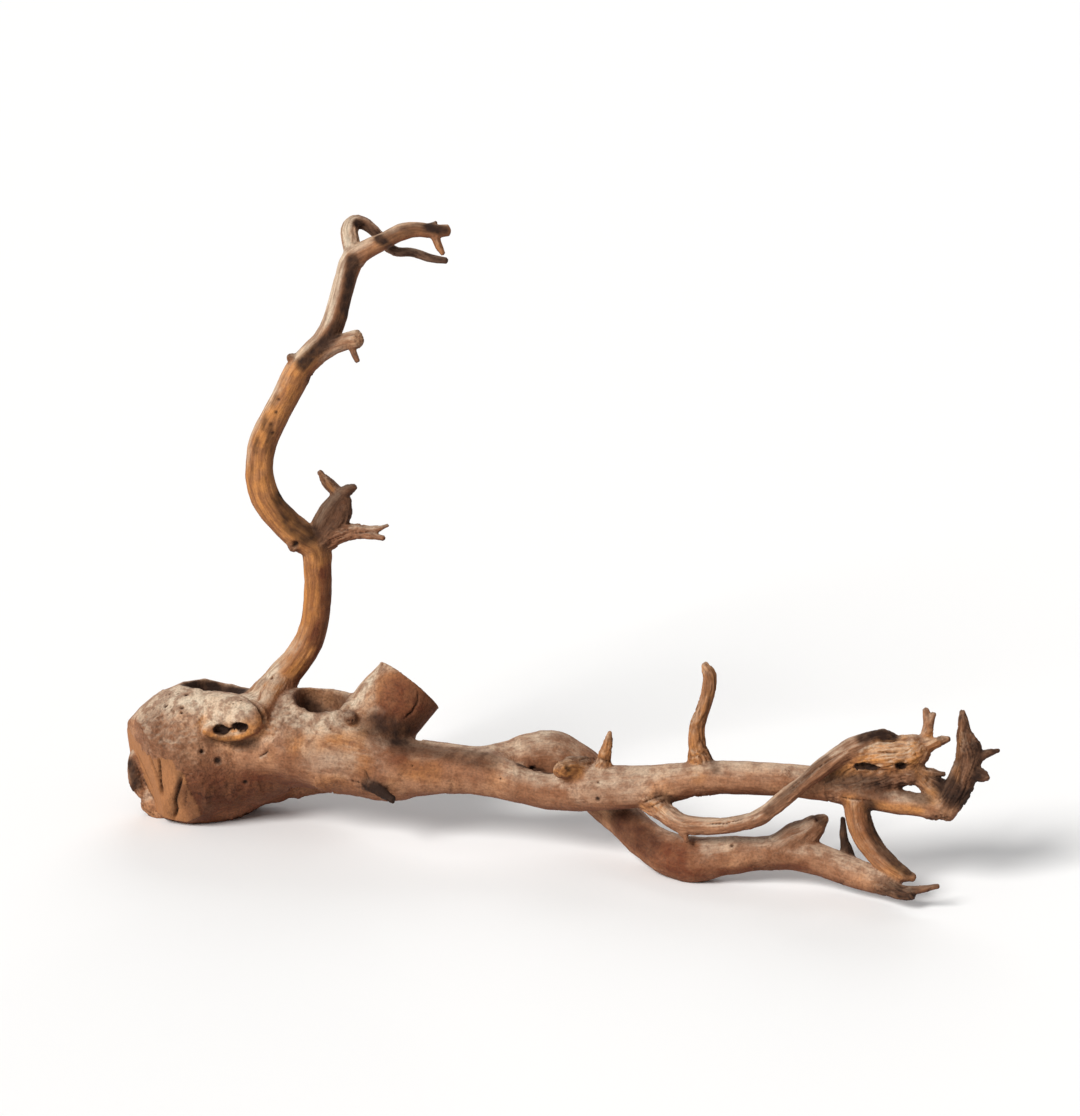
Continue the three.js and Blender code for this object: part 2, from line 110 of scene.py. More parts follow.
LIMBS = {
    "trunk": Limb([
        (-196, 93, 128, 24), (-175, 91, 118, 20.5), (-157, 92, 111, 22.5), (-139, 90, 106, 25),
        (-121, 86, 101, 23), (-103, 80.5, 96, 20), (-87, 79.5, 91, 16.5), (-67, 79, 85, 15.2),
        (-49, 77.5, 80, 14.5), (-33, 72.3, 75, 12.4), (-19, 68, 71, 10.6), (-5, 65.7, 66, 11),
        (13, 68, 60, 14.2), (37, 68, 52, 12.9), (59, 70, 46, 12.4), (81, 73.4, 40, 10.9),
        (104, 73.8, 33, 10.2), (125, 72.9, 27, 9.8), (149, 71, 21, 9.7), (175, 66, 15, 9.6),
        (197, 60.2, 10, 8), (218, 56.5, 6, 7.2), (233, 53.2, 4, 5.5),
    ], relief=0.06, blunt=0.6, groove=0.012, grain=0.4),
    "shoulder": Limb([
        (-190, 100, 130, 25), (-165, 98.5, 122, 28.5), (-146, 98.5, 115, 30.5), (-126, 94.5, 109, 24.5),
        (-104, 88, 102, 15),
    ], relief=0.04, blunt=1, groove=0.008, grain=0.1),
    "burl_tail": Limb([
        (-204, 78, 148, 29), (-181, 78.5, 150, 20.8), (-163, 76.5, 150, 14.4), (-145, 74.5, 146, 9.9),
        (-126, 78, 134, 8),
    ], relief=0.05, blunt=1, groove=0.012, grain=0.1),
    "lower_trunk": Limb([
        (-52, 78.5, 86, 13), (-31, 83.7, 92, 12.3), (-19, 85.7, 94, 14.5), (-7, 86, 95, 15.7),
        (5, 81.2, 95, 14.8), (17, 72.5, 94, 14.6), (26, 60.5, 88, 13), (37, 48.8, 77, 11.4),
        (53, 34, 60, 11.5), (66, 27, 49, 12.9), (78, 24.6, 43, 13.8), (98, 27, 37, 11.8),
        (119, 28.4, 33, 10.4), (140, 28.5, 29, 10.8), (161, 21.9, 24, 9.3), (178, 15.6, 16, 8.6),
        (193, 11, 8, 7.3), (200, 10.8, 5, 5),
    ], relief=0.05, blunt=0.7, groove=0.012, grain=0.4),
    "tall_limb": Limb([
        (-187, 107, 135, 13.5), (-180.5, 118, 130, 11.2), (-169.8, 132.2, 125, 9.5),
        (-159.3, 144.5, 120, 8.9), (-152, 156, 116, 8.9), (-148.4, 168, 112, 8.7), (-147, 185, 106, 8.3),
        (-147, 201, 100, 8.3), (-148.5, 212, 96, 8.9), (-158, 219.2, 92, 9.1), (-168, 228.2, 89, 8.8),
        (-177.5, 240.6, 85, 8.9), (-181.5, 253.6, 81, 8.8), (-181.6, 265, 77, 8.5), (-179.7, 276, 74, 8.8),
        (-173.3, 290, 69, 8.5), (-165, 305, 65, 8.4), (-158, 318.4, 61, 8.3), (-150.3, 327.3, 58, 7.9),
        (-142.8, 336.1, 56, 7.1), (-137.3, 347.8, 53, 7.1), (-133.6, 360, 49, 6.6), (-130.3, 373, 45, 6.8),
        (-126.2, 384.3, 42, 7.3), (-117, 391.2, 39, 6), (-106, 396.3, 37, 5.3), (-97, 401.2, 35, 5.3),
        (-87, 402.6, 34, 4.4), (-78, 401.5, 33, 4.4), (-68.8, 402.2, 32, 3.6),
    ], relief=0.05, blunt=0.4, groove=0.025, twist=0.006, grain=0.8, warm=0.9),
    "tall_foot": Limb([
        (-167.7, 132.4, 123, 8.8), (-173.2, 124, 115, 8.5), (-176.5, 116.5, 105.5, 6.4),
        (-178, 110.5, 100, 3.6),
    ], relief=0.06, blunt=1, groove=0.03, grain=0.6, warm=0.5),
    "loop_twig": Limb([
        (-125.5, 387, 43, 5.4), (-127.2, 395.8, 45, 5.4), (-128, 402.3, 47, 5.2), (-125, 406.8, 49, 4.8),
        (-119.6, 406.4, 51, 4), (-114.2, 402.7, 51, 3.6), (-109, 397.5, 50, 3.3), (-105, 392.5, 48, 3.1),
        (-99.5, 389.5, 46, 2.9), (-90, 389, 44, 2.7), (-79, 385.4, 42, 2.4), (-70, 384, 41, 2),
    ], relief=0.05, blunt=0.6, groove=0.08, grey=0.3),
    "tip_twig": Limb([
        (-77, 400, 33, 3), (-74.6, 393, 32, 2.6), (-72, 388, 31, 1.6),
    ], relief=0.05, blunt=0.6, warm=0.4),
    "tip_point": Limb([(-80, 403, 34, 3.2), (-76.3, 406.6, 34, 1.3)], relief=0.05, blunt=1, dark=0.5),
    "high_stub": Limb([
        (-148, 328, 58, 6.4), (-135.5, 333.7, 52, 5.3), (-127, 336.5, 48, 5.2), (-123, 337, 46, 5.8),
    ], relief=0.05, blunt=0.35, groove=0.06, warm=0.4, grey=0.3),
    "high_twig": Limb([
        (-127, 334, 47, 2.7), (-125.3, 328.8, 46, 2.1), (-123, 323.5, 45, 1.6),
    ], relief=0.05, blunt=0.5, dark=0.2),
    "high_corner": Limb([
        (-156, 319, 61, 6), (-162.5, 325.5, 58, 3.2), (-164.4, 327.4, 57, 1.6),
    ], relief=0.05, blunt=0.4, dark=0.4),
    "bend_knot": Limb([
        (-156, 217, 92, 6.5), (-162.8, 211.8, 88, 3.3),
    ], relief=0.05, blunt=0.4, groove=0.08, dark=0.2),
    "fan": Limb([
        (-146, 219, 95, 7.4), (-141, 232, 89, 6.9), (-134.5, 242, 85, 5), (-129, 246.3, 83, 3.8),
        (-124.8, 248, 82, 2.1),
    ], blunt=0.6, groove=0.06, dark=0.6),
    "fan_edge": Limb([
        (-141, 220, 92, 7), (-132.5, 231, 87, 6), (-129.8, 240, 84, 3.6),
    ], groove=0.06, dark=0.6),
    "fan_spike": Limb([
        (-133, 243, 85, 4.2), (-140, 249.8, 86, 3.7), (-145.3, 256.8, 87, 1.8),
    ], blunt=1, groove=0.15, dark=0.4),
    "upper_prong": Limb([
        (-146, 215, 96, 7.4), (-133, 220.6, 89, 6), (-123.5, 222.2, 85, 4), (-114, 222.2, 82, 3),
        (-105, 225.1, 80, 1.3),
    ], groove=0.15),
    "lower_prong": Limb([
        (-130, 220.5, 88, 4.2), (-119, 219.8, 82, 2.9), (-107.4, 217.4, 79, 1.9),
    ], blunt=0.6, groove=0.15),
    "cut_stub": Limb([
        (-122, 89, 106, 21), (-112, 104, 107, 22.6), (-103.1, 116.1, 108, 23.2), (-93.3, 127.5, 108, 22.7),
        (-81.2, 144.2, 108, 22.7),
    ], relief=0.05, blunt=0.5, groove=0.01, grain=0.1, warm=0.3),
    "burl_nub": Limb([
        (-216, 112, 122, 15), (-202, 112, 108, 13.5), (-190, 110, 99, 11.5), (-185, 109, 97, 9.5),
    ], relief=0.06, blunt=0.4, groove=0.012, grain=0.1, warm=0.3),
    "nub_lip": Limb([
        (-212, 103, 100, 5), (-205, 98.4, 97, 3.1), (-194, 98.6, 92, 2.9), (-185, 104, 93, 4),
    ], relief=0.1, blunt=0.6, groove=0.03, grain=0, warm=1),
    "stub_knot": Limb([
        (-127, 108, 92, 6), (-127.5, 109.5, 84, 3.4),
    ], relief=0.05, blunt=0.4, groove=0.05, dark=0.4),
    "trunk_spur": Limb([
        (-118, 74, 88, 6), (-110, 66.2, 79.5, 3.7), (-101.3, 60.5, 74.5, 2.3),
    ], blunt=0.4, groove=0.12, dark=0.95),
    "front_knot": Limb([
        (12, 75, 58, 8), (4, 78.5, 50, 6.3), (-2, 78.5, 45, 5),
    ], blunt=0.35, groove=0.07, dark=0.1, warm=0.8),
    "front_bark": Limb([
        (4, 82, 53, 4), (11, 83.6, 54, 2.9), (18, 83.8, 57, 2.2),
    ], relief=0.3, groove=0.15, grain=0.3, dark=0.45),
    "middle_spur": Limb([
        (24, 77, 55, 6.4), (25.3, 86, 52, 4.2), (27.3, 95, 51, 3), (28.3, 100.5, 51, 1.4),
    ], blunt=1, groove=0.12, warm=0.7),
    "tall_twig": Limb([
        (83.5, 76, 42, 9.6), (82.5, 83.5, 40, 7.8), (80.5, 93, 38, 5.4), (80.5, 103, 36, 4.9),
        (84.5, 115, 34, 4.4), (87.6, 126, 33, 4.4), (88, 135, 32, 4.3), (85, 142, 32, 2.1),
    ], blunt=0.6, groove=0.14, twist=0.02, warm=0.5),
    "arch": Limb([
        (52, 62, 46, 9.5), (62.3, 52.4, 38, 6.4), (72, 45.9, 31, 5.9), (83.5, 44.8, 26, 5.2),
        (98, 45.2, 20, 4.8), (113, 48.2, 15, 5.2), (123, 53.4, 11, 5.2), (134.5, 62.5, 8, 5.3),
        (146, 72, 6, 5.2), (158, 81.5, 5, 5.6), (170, 89.7, 6, 6), (182.5, 95.6, 8, 5.6),
        (192, 98.2, 10, 5), (197, 98, 10, 3.5),
    ], relief=0.05, groove=0.07, twist=0.01),
    "arch_spur": Limb([(71, 44, 31, 3.8), (74.5, 36, 28, 1.2)], relief=0.05, blunt=1),
    "head": Limb([
        (160, 74, 18, 7), (171, 81, 15, 10), (182, 84.5, 13, 12.2), (195, 86, 11, 12.8),
        (207, 88, 10, 11.5), (216, 92, 9, 7.2),
    ], relief=0.09, blunt=0.7, groove=0.08, grain=0.6, warm=0.8),
    "jaw": Limb([
        (172, 70, 16, 10), (190, 74, 13, 11), (206, 77, 10, 8.4), (213.5, 74, 9, 5.4), (221, 66, 7, 4.4),
        (229, 57, 5, 5),
    ], groove=0.08, grain=0.7, dark=0.2),
    "jaw_finger": Limb([
        (212, 78.5, 9, 4), (220, 77.6, 6, 2.3), (228.6, 75.8, 5, 1.6),
    ], groove=0.12, dark=0.3),
    "jaw_web": Limb([
        (210, 80, 9, 5), (220, 73, 8, 4.1), (228.5, 67.5, 7, 5), (234, 61, 6, 6),
    ], groove=0.15, dark=0.4),
    "head_prong": Limb([
        (216, 91, 9, 5.2), (218.6, 100, 9, 3.8), (219.4, 107, 9, 3.2), (217.8, 114.5, 8, 2),
    ], blunt=0.7, groove=0.12),
    "head_prong_side": Limb([(219, 103, 9, 3), (222.5, 112, 7, 1.6)], blunt=0.7),
    "head_point": Limb([(215, 92.3, 9, 5.6), (225, 95.5, 5, 3.3), (231.5, 97, 3, 1.7)], dark=0.2),
    "claw": Limb([
        (229, 53.5, 5, 6.8), (234, 62, 5, 8.1), (239.8, 74, 4, 8.1), (243, 85.5, 3, 7.8),
        (241.2, 97, 3, 5.2), (240.4, 106.5, 3, 3.7), (239.8, 113.5, 3, 2.1),
    ], blunt=0.7, groove=0.12, dark=0.4),
    "claw_point": Limb([
        (243.5, 80, 3, 6.8), (247, 91, 2, 4.7), (245.5, 99.5, 1, 1.9),
    ], groove=0.12, dark=0.4),
    "claw_side": Limb([(247, 85, 3, 4.2), (255, 88.4, 0, 2.6), (261.3, 90.1, -2, 1.5)], dark=0.7),
    "claw_heel": Limb([
        (243, 77, 3, 5.8), (250.5, 75.5, 0, 4.4), (255, 73.5, -2, 2.1),
    ], blunt=0.6, dark=0.4),
    "strut": Limb([
        (177, 63, 15, 9), (177, 52, 13, 7.7), (180.7, 39.7, 12, 7.4), (187.3, 30.3, 10, 7),
        (194.5, 22.5, 7, 6.4), (202, 16.8, 4, 5.2), (210, 14, 2, 2.7),
    ], relief=0.05, groove=0.05, warm=0.5),
    "horn": Limb([
        (127, 28.6, 31, 9.8), (138.5, 36.4, 28, 10.1), (148.6, 42.4, 26, 7.9), (154, 46.9, 26, 5),
        (158, 49.9, 26, 2.3),
    ], relief=0.05, blunt=0.6, groove=0.04, dark=0.2),
    "thin_twig": Limb([
        (172, 19, 22, 6.4), (171, 27.5, 25, 4.2), (168.7, 38, 25, 2.6), (168.1, 49.2, 25, 1.7),
    ], relief=0.05, groove=0.08, dark=0.95),
    "end_twig": Limb([
        (192, 9.8, 7, 5.8), (201, 5.6, 0, 4.9), (207, 3.6, -4.4, 4.1), (209.8, 2.4, -6.6, 2.7),
    ], blunt=0.4, groove=0.12, dark=0.7),
    "end_point": Limb([
        (203, 5.2, -1, 3.6), (214.5, 6.7, -6, 2.8), (225, 8.6, -8, 1.6),
    ], relief=0.05, dark=0.4),
    "burl_rim": Limb([
        (-253.5, 87, 146, 6), (-256, 79, 146, 5.5), (-255, 71, 146, 5.5), (-250.5, 64.5, 147, 5),
    ], relief=0.15, blunt=0.6, groove=0.15, grain=0, dark=0.95),
    "burl_lump": Limb([(-246.5, 59.5, 145, 8), (-241, 54, 145, 7)], relief=0.12, grain=0),
    "bark_boss": Limb([(134, 74, 24, 6), (134.5, 76.2, 17, 3.4)], relief=0.05, blunt=0.6, groove=0.05),
}

# The burl, which is turned and not drawn as a limb, and the seed of its girth.
BURL = Limb([
    (-260, 88, 138, 19.5), (-251, 88.5, 138, 29.3), (-240, 87.5, 139, 38.5), (-226, 88.7, 139.5, 43.2),
    (-214, 90, 140, 43.6), (-203, 91, 140, 39.8), (-186, 92, 138, 34.5), (-166, 92, 132, 27),
], relief=0.03, blunt=0.15, groove=0.006, grain=0)
BURL_SEED = 1.3

# The feet of the burl: middle and half sizes.
BURL_FEET = [((-208, 66, 140), (24, 18, 20)), ((-210, 74, 161), (31, 27, 20.5))]

# The axe cuts at the foot of the burl and the saw cut across the stub: a point, and which way it faces.
# HEWN is the outline of the bare wood that the axe left, across and up.
AXE_CUTS = [
    ((-239.8, 63.4, 113), (-0.894, -0.3, -0.33)),
    ((-229, 75.6, 99), (-0.6, -0.42, -0.68)),
    ((-221, 60, 110.5), (-0.3, -0.62, -0.72)),
]
HEWN = [
    (-261, 104), (-257, 98), (-248.8, 87.5), (-246, 85), (-240.5, 86), (-233, 83.5), (-232.5, 79.5),
    (-228, 76), (-224.5, 66), (-219, 56), (-213, 45), (-250, 40), (-275, 70),
]
SAW_CUT = ((-91.8, 129.3, 108), (0.62, 0.785, 0.16))
SAWN = "cut_stub"

# How far apart the growth rings on the saw cut are, and where they fade round its middle, in metres.
RING_STEP = 0.0019
RINGS_FADE = (0.024, 0.03)

# The rotted hollows and gouges: middle, half sizes across, from front to back and upright, lean to the
# front, and how dark the painted shade in them is.
HOLLOWS = [
    ((-208, 133, 129.5), (19.5, 13, 17), 0.1, 1),
    ((-145, 123, 104), (16, 17, 22), 0.35, 0.35),
    ((-205, 102.3, 94), (4.7, 7, 2.7), 0.2, 1),
    ((-194, 104, 88.5), (5, 7, 2.9), 0.2, 1),
    ((182, 80, 1), (7.5, 5, 1.6), 0.1, 0.9),
    ((203.3, 81, -0.5), (3.8, 5.5, 2.2), 0.2, 0.9),
]

# Insect holes and knot holes on the front, each across, up, radius and depth.
HOLES = [
    (-235.6, 123.3, 1, 1.2), (-230.6, 123.8, 0.9, 1.2), (-225.7, 123.3, 1.3, 1.6),
    (-237.7, 116.4, 1.6, 1.6), (-234.3, 114.1, 1, 1.2), (-228.2, 115.2, 1.2, 1.4), (-228.5, 112.2, 1, 1.2),
    (-188.7, 121.7, 1.5, 2.2), (-197.6, 118.3, 0.8, 0.8), (-193, 120.2, 0.8, 0.8),
    (-174.6, 133.6, 1.2, 1.2), (-179.6, 128.2, 1.2, 1.2), (-216.3, 89.6, 1.7, 2), (-206.7, 83.9, 2.6, 1.8),
    (-190.4, 71.1, 1.8, 1.6), (-108.4, 141.7, 0.9, 0.8), (-128.6, 107.4, 1.4, 1.6),
    (-125.5, 107.8, 1.1, 1.4), (-126, 70.9, 0.9, 1), (-122.9, 70.4, 1, 1), (-139.2, 103, 0.6, 0.6),
    (-37.3, 73.3, 0.8, 0.8), (21, 71.2, 1, 0.8), (21, 61, 1.6, 0.9), (152.9, 48.8, 1.3, 1.6),
    (-160.2, 213.5, 2.4, 2.4), (-175, 285.4, 1.4, 0.7), (-173.7, 280.2, 1.7, 0.8),
    (-170.6, 300.8, 1.3, 0.6), (-172, 293.2, 1.2, 0.6), (203.4, 80.7, 2.2, 1.6), (101.5, 32.8, 1.5, 0.7),
]

# Cracks on the front, each width, depth, and the points across and up that it runs through.
CRACKS = [
    (2.8, 3.2, (-248.4, 88.4), (-245.8, 80.8), (-243.4, 73), (-240.4, 63)),
    (1.8, 2.2, (-242.3, 85.6), (-241.6, 74.8), (-240, 63.4)),
    (1.1, 1.1, (-258, 85), (-251, 71.5), (-244, 58)), (1, 0.9, (-255.5, 89), (-250.5, 78), (-245.5, 66)),
    (1.9, 2.4, (-228.4, 73.6), (-231.1, 64.6), (-232.6, 59.8), (-231.4, 55), (-232.9, 49)),
    (0.9, 0.8, (-224.8, 69.4), (-226, 61.6), (-226.6, 56.2)),
    (3.2, 4, (-187, 120.8), (-182.2, 116.8), (-179.2, 111.4), (-178.6, 106.8)),
    (2, 2, (-208, 101.5), (-200, 102.4), (-190, 105)), (1, 1, (-181.6, 86.5), (-178.6, 88), (-176.2, 90)),
    (2.2, 3, (-21, 80.2), (-14.2, 77.6), (-6.5, 76.4)),
    (1.1, 1.3, (-86.8, 125.8), (-87, 119), (-91, 113.2), (-95.2, 109.6)),
    (2.4, 2.6, (174, 79), (180, 79.2), (187, 78.6)), (1, 1, (166, 62), (176, 60.6), (187, 59.6)),
    (1, 0.9, (86, 46), (98, 46.5), (110, 49.5)), (1.2, 1.3, (48, 58.5), (54, 61.5), (60, 62.8)),
    (1, 1.1, (51, 55), (57, 58.5), (63, 60.8)), (1.2, 1.2, (21, 86), (25, 84), (32, 83.2)),
    (1, 1, (-119, 79), (-117, 74), (-114, 70.5)), (1, 1, (134, 64), (144, 72.5), (156, 82), (166, 88)),
    (0.9, 0.9, (188, 90), (198, 89), (208, 91)), (0.9, 0.9, (176, 71), (190, 68), (202, 70)),
    (0.9, 0.9, (-135.4, 225), (-124, 220.6), (-114.4, 221.6)),
]

# Spongy, worm-eaten wood on the front, each across, up and radius.
SPONGY = [
    (-246, 96, 13), (-236, 100, 15), (-228, 92, 12), (-240, 110, 12), (-168, 112, 9), (-160, 109, 8),
    (-176, 104, 7), (-252, 104, 10), (-222, 78, 9), (-212, 66, 12), (-198, 64, 10),
]

# Fibrous, rough wood at knots and broken ends on the front, each across, up, radius and how rough.
RAGGED = [
    (-119, 70, 9, 1), (-2, 79, 7, 1), (60, 62, 10, 1), (195, 82, 22, 0.9), (215, 75, 14, 1),
    (-130, 226, 10, 1), (-160, 214, 6, 0.8), (27, 90, 7, 1), (-98, 120, 17, 0.5), (-212, 66, 22, 0.5),
    (83, 78, 9, 0.25), (-256, 76, 9, 1), (136, 64, 9, 0.8),
]

# Stains, bleached wood, painted shade and painted highlights on the front by their look, each how strong
# it is, its width, and the points across and up that it runs through. A strength below nothing takes
# away. The red and dark lists hold painted shade as well as stains, and the grey and warm lists painted
# highlights as well as bleached and orange wood.
STAINS_AND_PAINTED_LIGHT = {
    "red": [
        (0.9, 15, (-213, 70), (-200, 64), (-184, 68), (-166, 68)),
        (0.8, 7, (-226, 66), (-222, 57), (-219, 50)),
        # Painted shade down the right side of the tall limb's lower part.
        (0.8, 5, (-175, 112), (-170, 119), (-162, 128), (-152, 140), (-144, 152)),
        (0.5, 7, (-124, 82), (-114, 78)), (-0.35, 6, (-95, 68), (-70, 67), (-45, 66)),
        (0.5, 8, (-112, 92), (-98, 88)), (0.45, 7, (-98, 82), (-72, 80), (-48, 77)),
        (1, 12, (-104, 112), (-98, 124), (-88, 112), (-84, 118)), (0.5, 4, (-34, 83), (-20, 82)),
        # The first entry here is the trunk's shadow on the lower trunk, painted.
        (1, 11, (36, 44), (50, 33), (64, 25)), (0.6, 12, (72, 26), (86, 24)),
        # Painted shade along the lower trunk's underside.
        (0.7, 4, (70, 15), (96, 17), (120, 19), (145, 20)),
        (0.4, 6, (-149, 196), (-149, 182), (-151, 168), (-158, 155), (-168, 142)),
        # This and the next two are painted shade down the tall limb's shaded right side.
        (0.7, 5, (-169, 268), (-168, 254), (-163, 240), (-154, 229)),
        (0.6, 4.5, (-151, 311), (-160, 296), (-168, 280)),
        (1, 5.5, (-141.5, 197), (-140, 186), (-141.5, 170), (-148, 157)),
        (0.5, 7, (177, 56), (181, 40), (190, 28)), (-0.8, 9, (188, 90), (204, 89)),
    ],
    "dark": [
        # The second entry here is painted shade under the nub.
        (0.25, 12, (-206, 62), (-188, 62), (-170, 67)), (0.5, 4, (-211, 96.5), (-198, 95), (-184, 94)),
        (0.2, 15, (-250, 103), (-242, 93), (-228, 89)), (0.5, 2, (-229.5, 76), (-231.5, 64), (-233, 52)),
        (0.25, 8, (-172, 112), (-162, 104)), (0.3, 9, (-222, 62), (-216, 50)),
        (0.8, 6, (-153, 118), (-148, 114)), (0.9, 4, (-260, 82), (-258, 76), (-255.5, 70)),
        # The first entry here is painted shade in the crotch below the sawn stub.
        (0.6, 8.5, (-116, 105), (-108, 102), (-97, 99.5)), (0.65, 6.5, (-98, 93), (-72, 90), (-44, 84)),
        # Both entries here are painted shade on the lower and right parts of the sawn stub.
        (0.2, 8, (-86, 124), (-80, 117), (-88, 108)), (0.35, 8, (-108, 108), (-97, 105), (-87, 105)),
        # Both entries here are painted shade: in the crevice between the trunk and the lower trunk's hump,
        # and the trunk's shadow on the lower trunk.
        (0.9, 2.2, (-26, 81.5), (-17, 79), (-7, 76.3)), (0.5, 9, (34, 47), (42, 41), (52, 35)),
        (0.55, 3, (123, 54), (130, 61), (138, 68), (150, 79), (158, 85)),
        # Both entries here are painted shade: in the arch's crotch, and at the right of the tall twig's
        # base.
        (0.7, 3, (57, 63.5), (62, 62), (67, 60.5)), (0.5, 3, (92, 78), (89, 88), (86, 98)),
        # Painted shade on the right side of the tall limb's bend.
        (0.8, 7, (-169, 240), (-162, 227), (-154, 220)),
        # The first entry here is painted shade on the tall limb's right side.
        (0.3, 4.5, (-173, 270), (-174.5, 258), (-170, 246)), (0.25, 6, (-148, 214), (-144, 208)),
        (0.5, 1.7, (-171.5, 303), (-174, 297)), (0.4, 1.6, (-178, 291), (-180, 283)),
        (0.35, 1.8, (-174.5, 286), (-177, 276)), (0.5, 1.6, (-183, 277), (-185, 269)),
        (0.4, 1.5, (-186, 261), (-187, 253)),
        # Painted shade on the tall limb's right side.
        (0.25, 4, (-140, 194), (-139.5, 184), (-140.5, 168), (-147, 155)),
        # Dark bark on the upper tall limb's right side, partly painted shade.
        (0.95, 4.6, (-126, 384), (-128, 366), (-131, 352), (-137, 340), (-148, 330), (-156, 322)),
        (0.55, 3.5, (-110, 397), (-104, 399), (-88, 404), (-72, 403)),
        (0.85, 3, (-123.5, 406.5), (-119, 404), (-112, 400)),
        (0.75, 3, (-110, 397), (-100, 389), (-84, 387), (-71, 384)), (0.6, 3.5, (-80, 405), (-72, 402)),
        (0.3, 3, (-178, 287), (-174, 278), (-178, 271)),
        # Painted shade down the strut's right side.
        (0.85, 4.6, (184, 57), (185.5, 43), (192, 31), (201, 22), (207, 18)),
        (0.5, 7, (164, 74), (178, 69), (192, 67)), (-0.6, 8, (188, 87), (204, 89)),
        # The second entry here is painted shade on the claw's right side.
        (0.5, 7, (229, 70), (236, 62), (244, 60)), (0.4, 4, (246, 68), (250, 78), (248, 92)),
        # The second entry here is painted shade under the jaw.
        (0.9, 5, (181, 98), (188, 101), (197, 99)), (0.6, 5, (205, 66), (217, 61)),
        (0.5, 3, (151, 50), (156, 48)), (0.6, 1.6, (2.5, 79.5), (4, 78.5)),
    ],
    "warm": [
        (1, 4.5, (-213, 109), (-206, 104), (-193, 107), (-184, 107)), (0.45, 9, (-158, 95), (-142, 98)),
        (0.6, 9, (-127, 98), (-122, 82)), (0.5, 7, (-92, 80), (-78, 77)),
        (0.6, 3, (48, 56), (54, 57), (60, 54)), (0.4, 6, (78, 88), (82, 76)),
        (-0.8, 8, (-129, 386), (-133, 368), (-138, 350), (-144, 338)),
        (-0.7, 6, (-120, 390), (-104, 398), (-88, 402), (-72, 402)),
        # The first entry here is a painted highlight on the claw's left side.
        (0.7, 2.5, (235.5, 72), (237, 88), (238, 106)), (0.8, 4, (215, 77), (219, 69), (223, 61)),
        (0.9, 7, (190, 91), (205, 90)), (0.8, 4, (170, 61), (190, 56), (212, 54)),
        (0.7, 2, (-138, 247), (-144, 255)), (0.9, 3.5, (-3, 78), (2, 78)),
    ],
    "grey": [
        (0.7, 12, (-232, 123), (-218, 123), (-206, 117), (-194, 118)), (0.75, 9, (-208, 114), (-198, 114)),
        (0.35, 7, (-166, 114), (-156, 108), (-146, 105), (-136, 108)),
        (0.7, 3.2, (-187, 122), (-180.5, 131), (-172.5, 140)), (0.35, 9, (-150, 86), (-132, 82)),
        (0.25, 7, (10, 64), (26, 66), (45, 66)), (-0.5, 9, (-98, 86), (-70, 83), (-48, 78)),
        # A painted highlight down the sawn stub's left edge.
        (0.8, 3.5, (-124, 119), (-118, 130), (-111.5, 140)),
        # The second entry here takes the paleness out of the trunk's painted shadow on the lower trunk.
        (-0.9, 10, (-103, 128), (-96, 120), (-88, 116)), (-0.9, 12, (36, 44), (52, 33), (70, 29)),
        # A painted highlight down the tall limb's lit left side.
        (0.35, 3, (-190, 262), (-188, 278), (-181, 292), (-172, 308)),
        # Pale wood down the upper tall limb's left side, partly a painted highlight.
        (1, 4.5, (-133, 386), (-137, 366), (-142, 350), (-150, 338), (-158, 328)),
        (0.8, 3, (-130, 391), (-131, 402), (-128, 408)), (0.3, 6, (188, 92), (204, 91)),
        # A painted highlight along the fan's left edge.
        (0.6, 2.4, (-146, 227), (-141, 237), (-135, 243)),
    ],
    "raw": [
        (-0.6, 7, (-226, 66), (-222, 57), (-219, 50)),
    ],
}

# Colours of the wood in even white light.
TAN = (0.68, 0.495, 0.37)
BROWN = (0.47, 0.285, 0.175)
ORANGE = (0.77, 0.515, 0.275)
# The next is red-brown wood, and also painted shade on the undersides and shaded sides.
RED_BROWN = (0.41, 0.215, 0.125)
# The next is pale dust on the tops, and also a painted highlight on the side towards the key light.
DUST_AND_HIGHLIGHT = (0.83, 0.755, 0.66)
# The next is dark wood, and also painted shade in holes, cracks, hollows, pits, grooves and crotches.
DARK = (0.16, 0.088, 0.048)
CUT = (0.645, 0.435, 0.275)
FLOOR = (0.95, 0.95, 0.95)

# The way that the bleached, dusty wood faces: up, and leaning towards the key light, so that its paleness
# is partly a painted highlight. The wood that faces away is given painted red-brown shade.
DUST_AND_LIGHT_SIDE = np.array([-0.35, -0.2, 0.9])

# The soft lights, each the side that it lies towards, its width in degrees, strength and colour, and the
# strength of the light from all round.
SUNS = {
    "key": ((-0.66, -0.66, 0.74), 26, 3.4, (1.0, 0.985, 0.965)),
    "back": ((0.15, 0.9, 0.5), 40, 1.0, (1.0, 1.0, 1.0)),
}
WORLD_LIGHT = 0.31
FLOOR_HALF = 12

# Where the seeds of each use of noise start. Its further layers have the next ones. A limb's fibres have
# the limb's number, and their swell that much more.
SEEDS = {
    "wear": 7, "swell": 50, "hewn": 91, "lumps": 101, "sponge": 111, "ragged": 121, "paint_stains_light_and_shade": 131,
    "dust_and_painted_light": 141, "back": 151,
}

# What the noise stirs its keys with.
PRIMES = [np.uint32(n) for n in (374761393, 668265263, 2246822519)]
SEED_STEP = np.uint32(3266489917)


def turned(vectors):
    """Directions of the view, as directions of the standing root."""
    across, up, away = np.moveaxis(np.asarray(vectors, float), -1, 0)
    cos, sin = math.cos(VIEW_TILT), math.sin(VIEW_TILT)
    return np.stack([across, away * cos + up * sin, up * cos - away * sin], axis=-1)


def spread(away):
    """How much larger than drawn a thing is at this depth, because the view has perspective."""
    return 1 + (away - VIEW_CENTRE[2]) / VIEW_DISTANCE


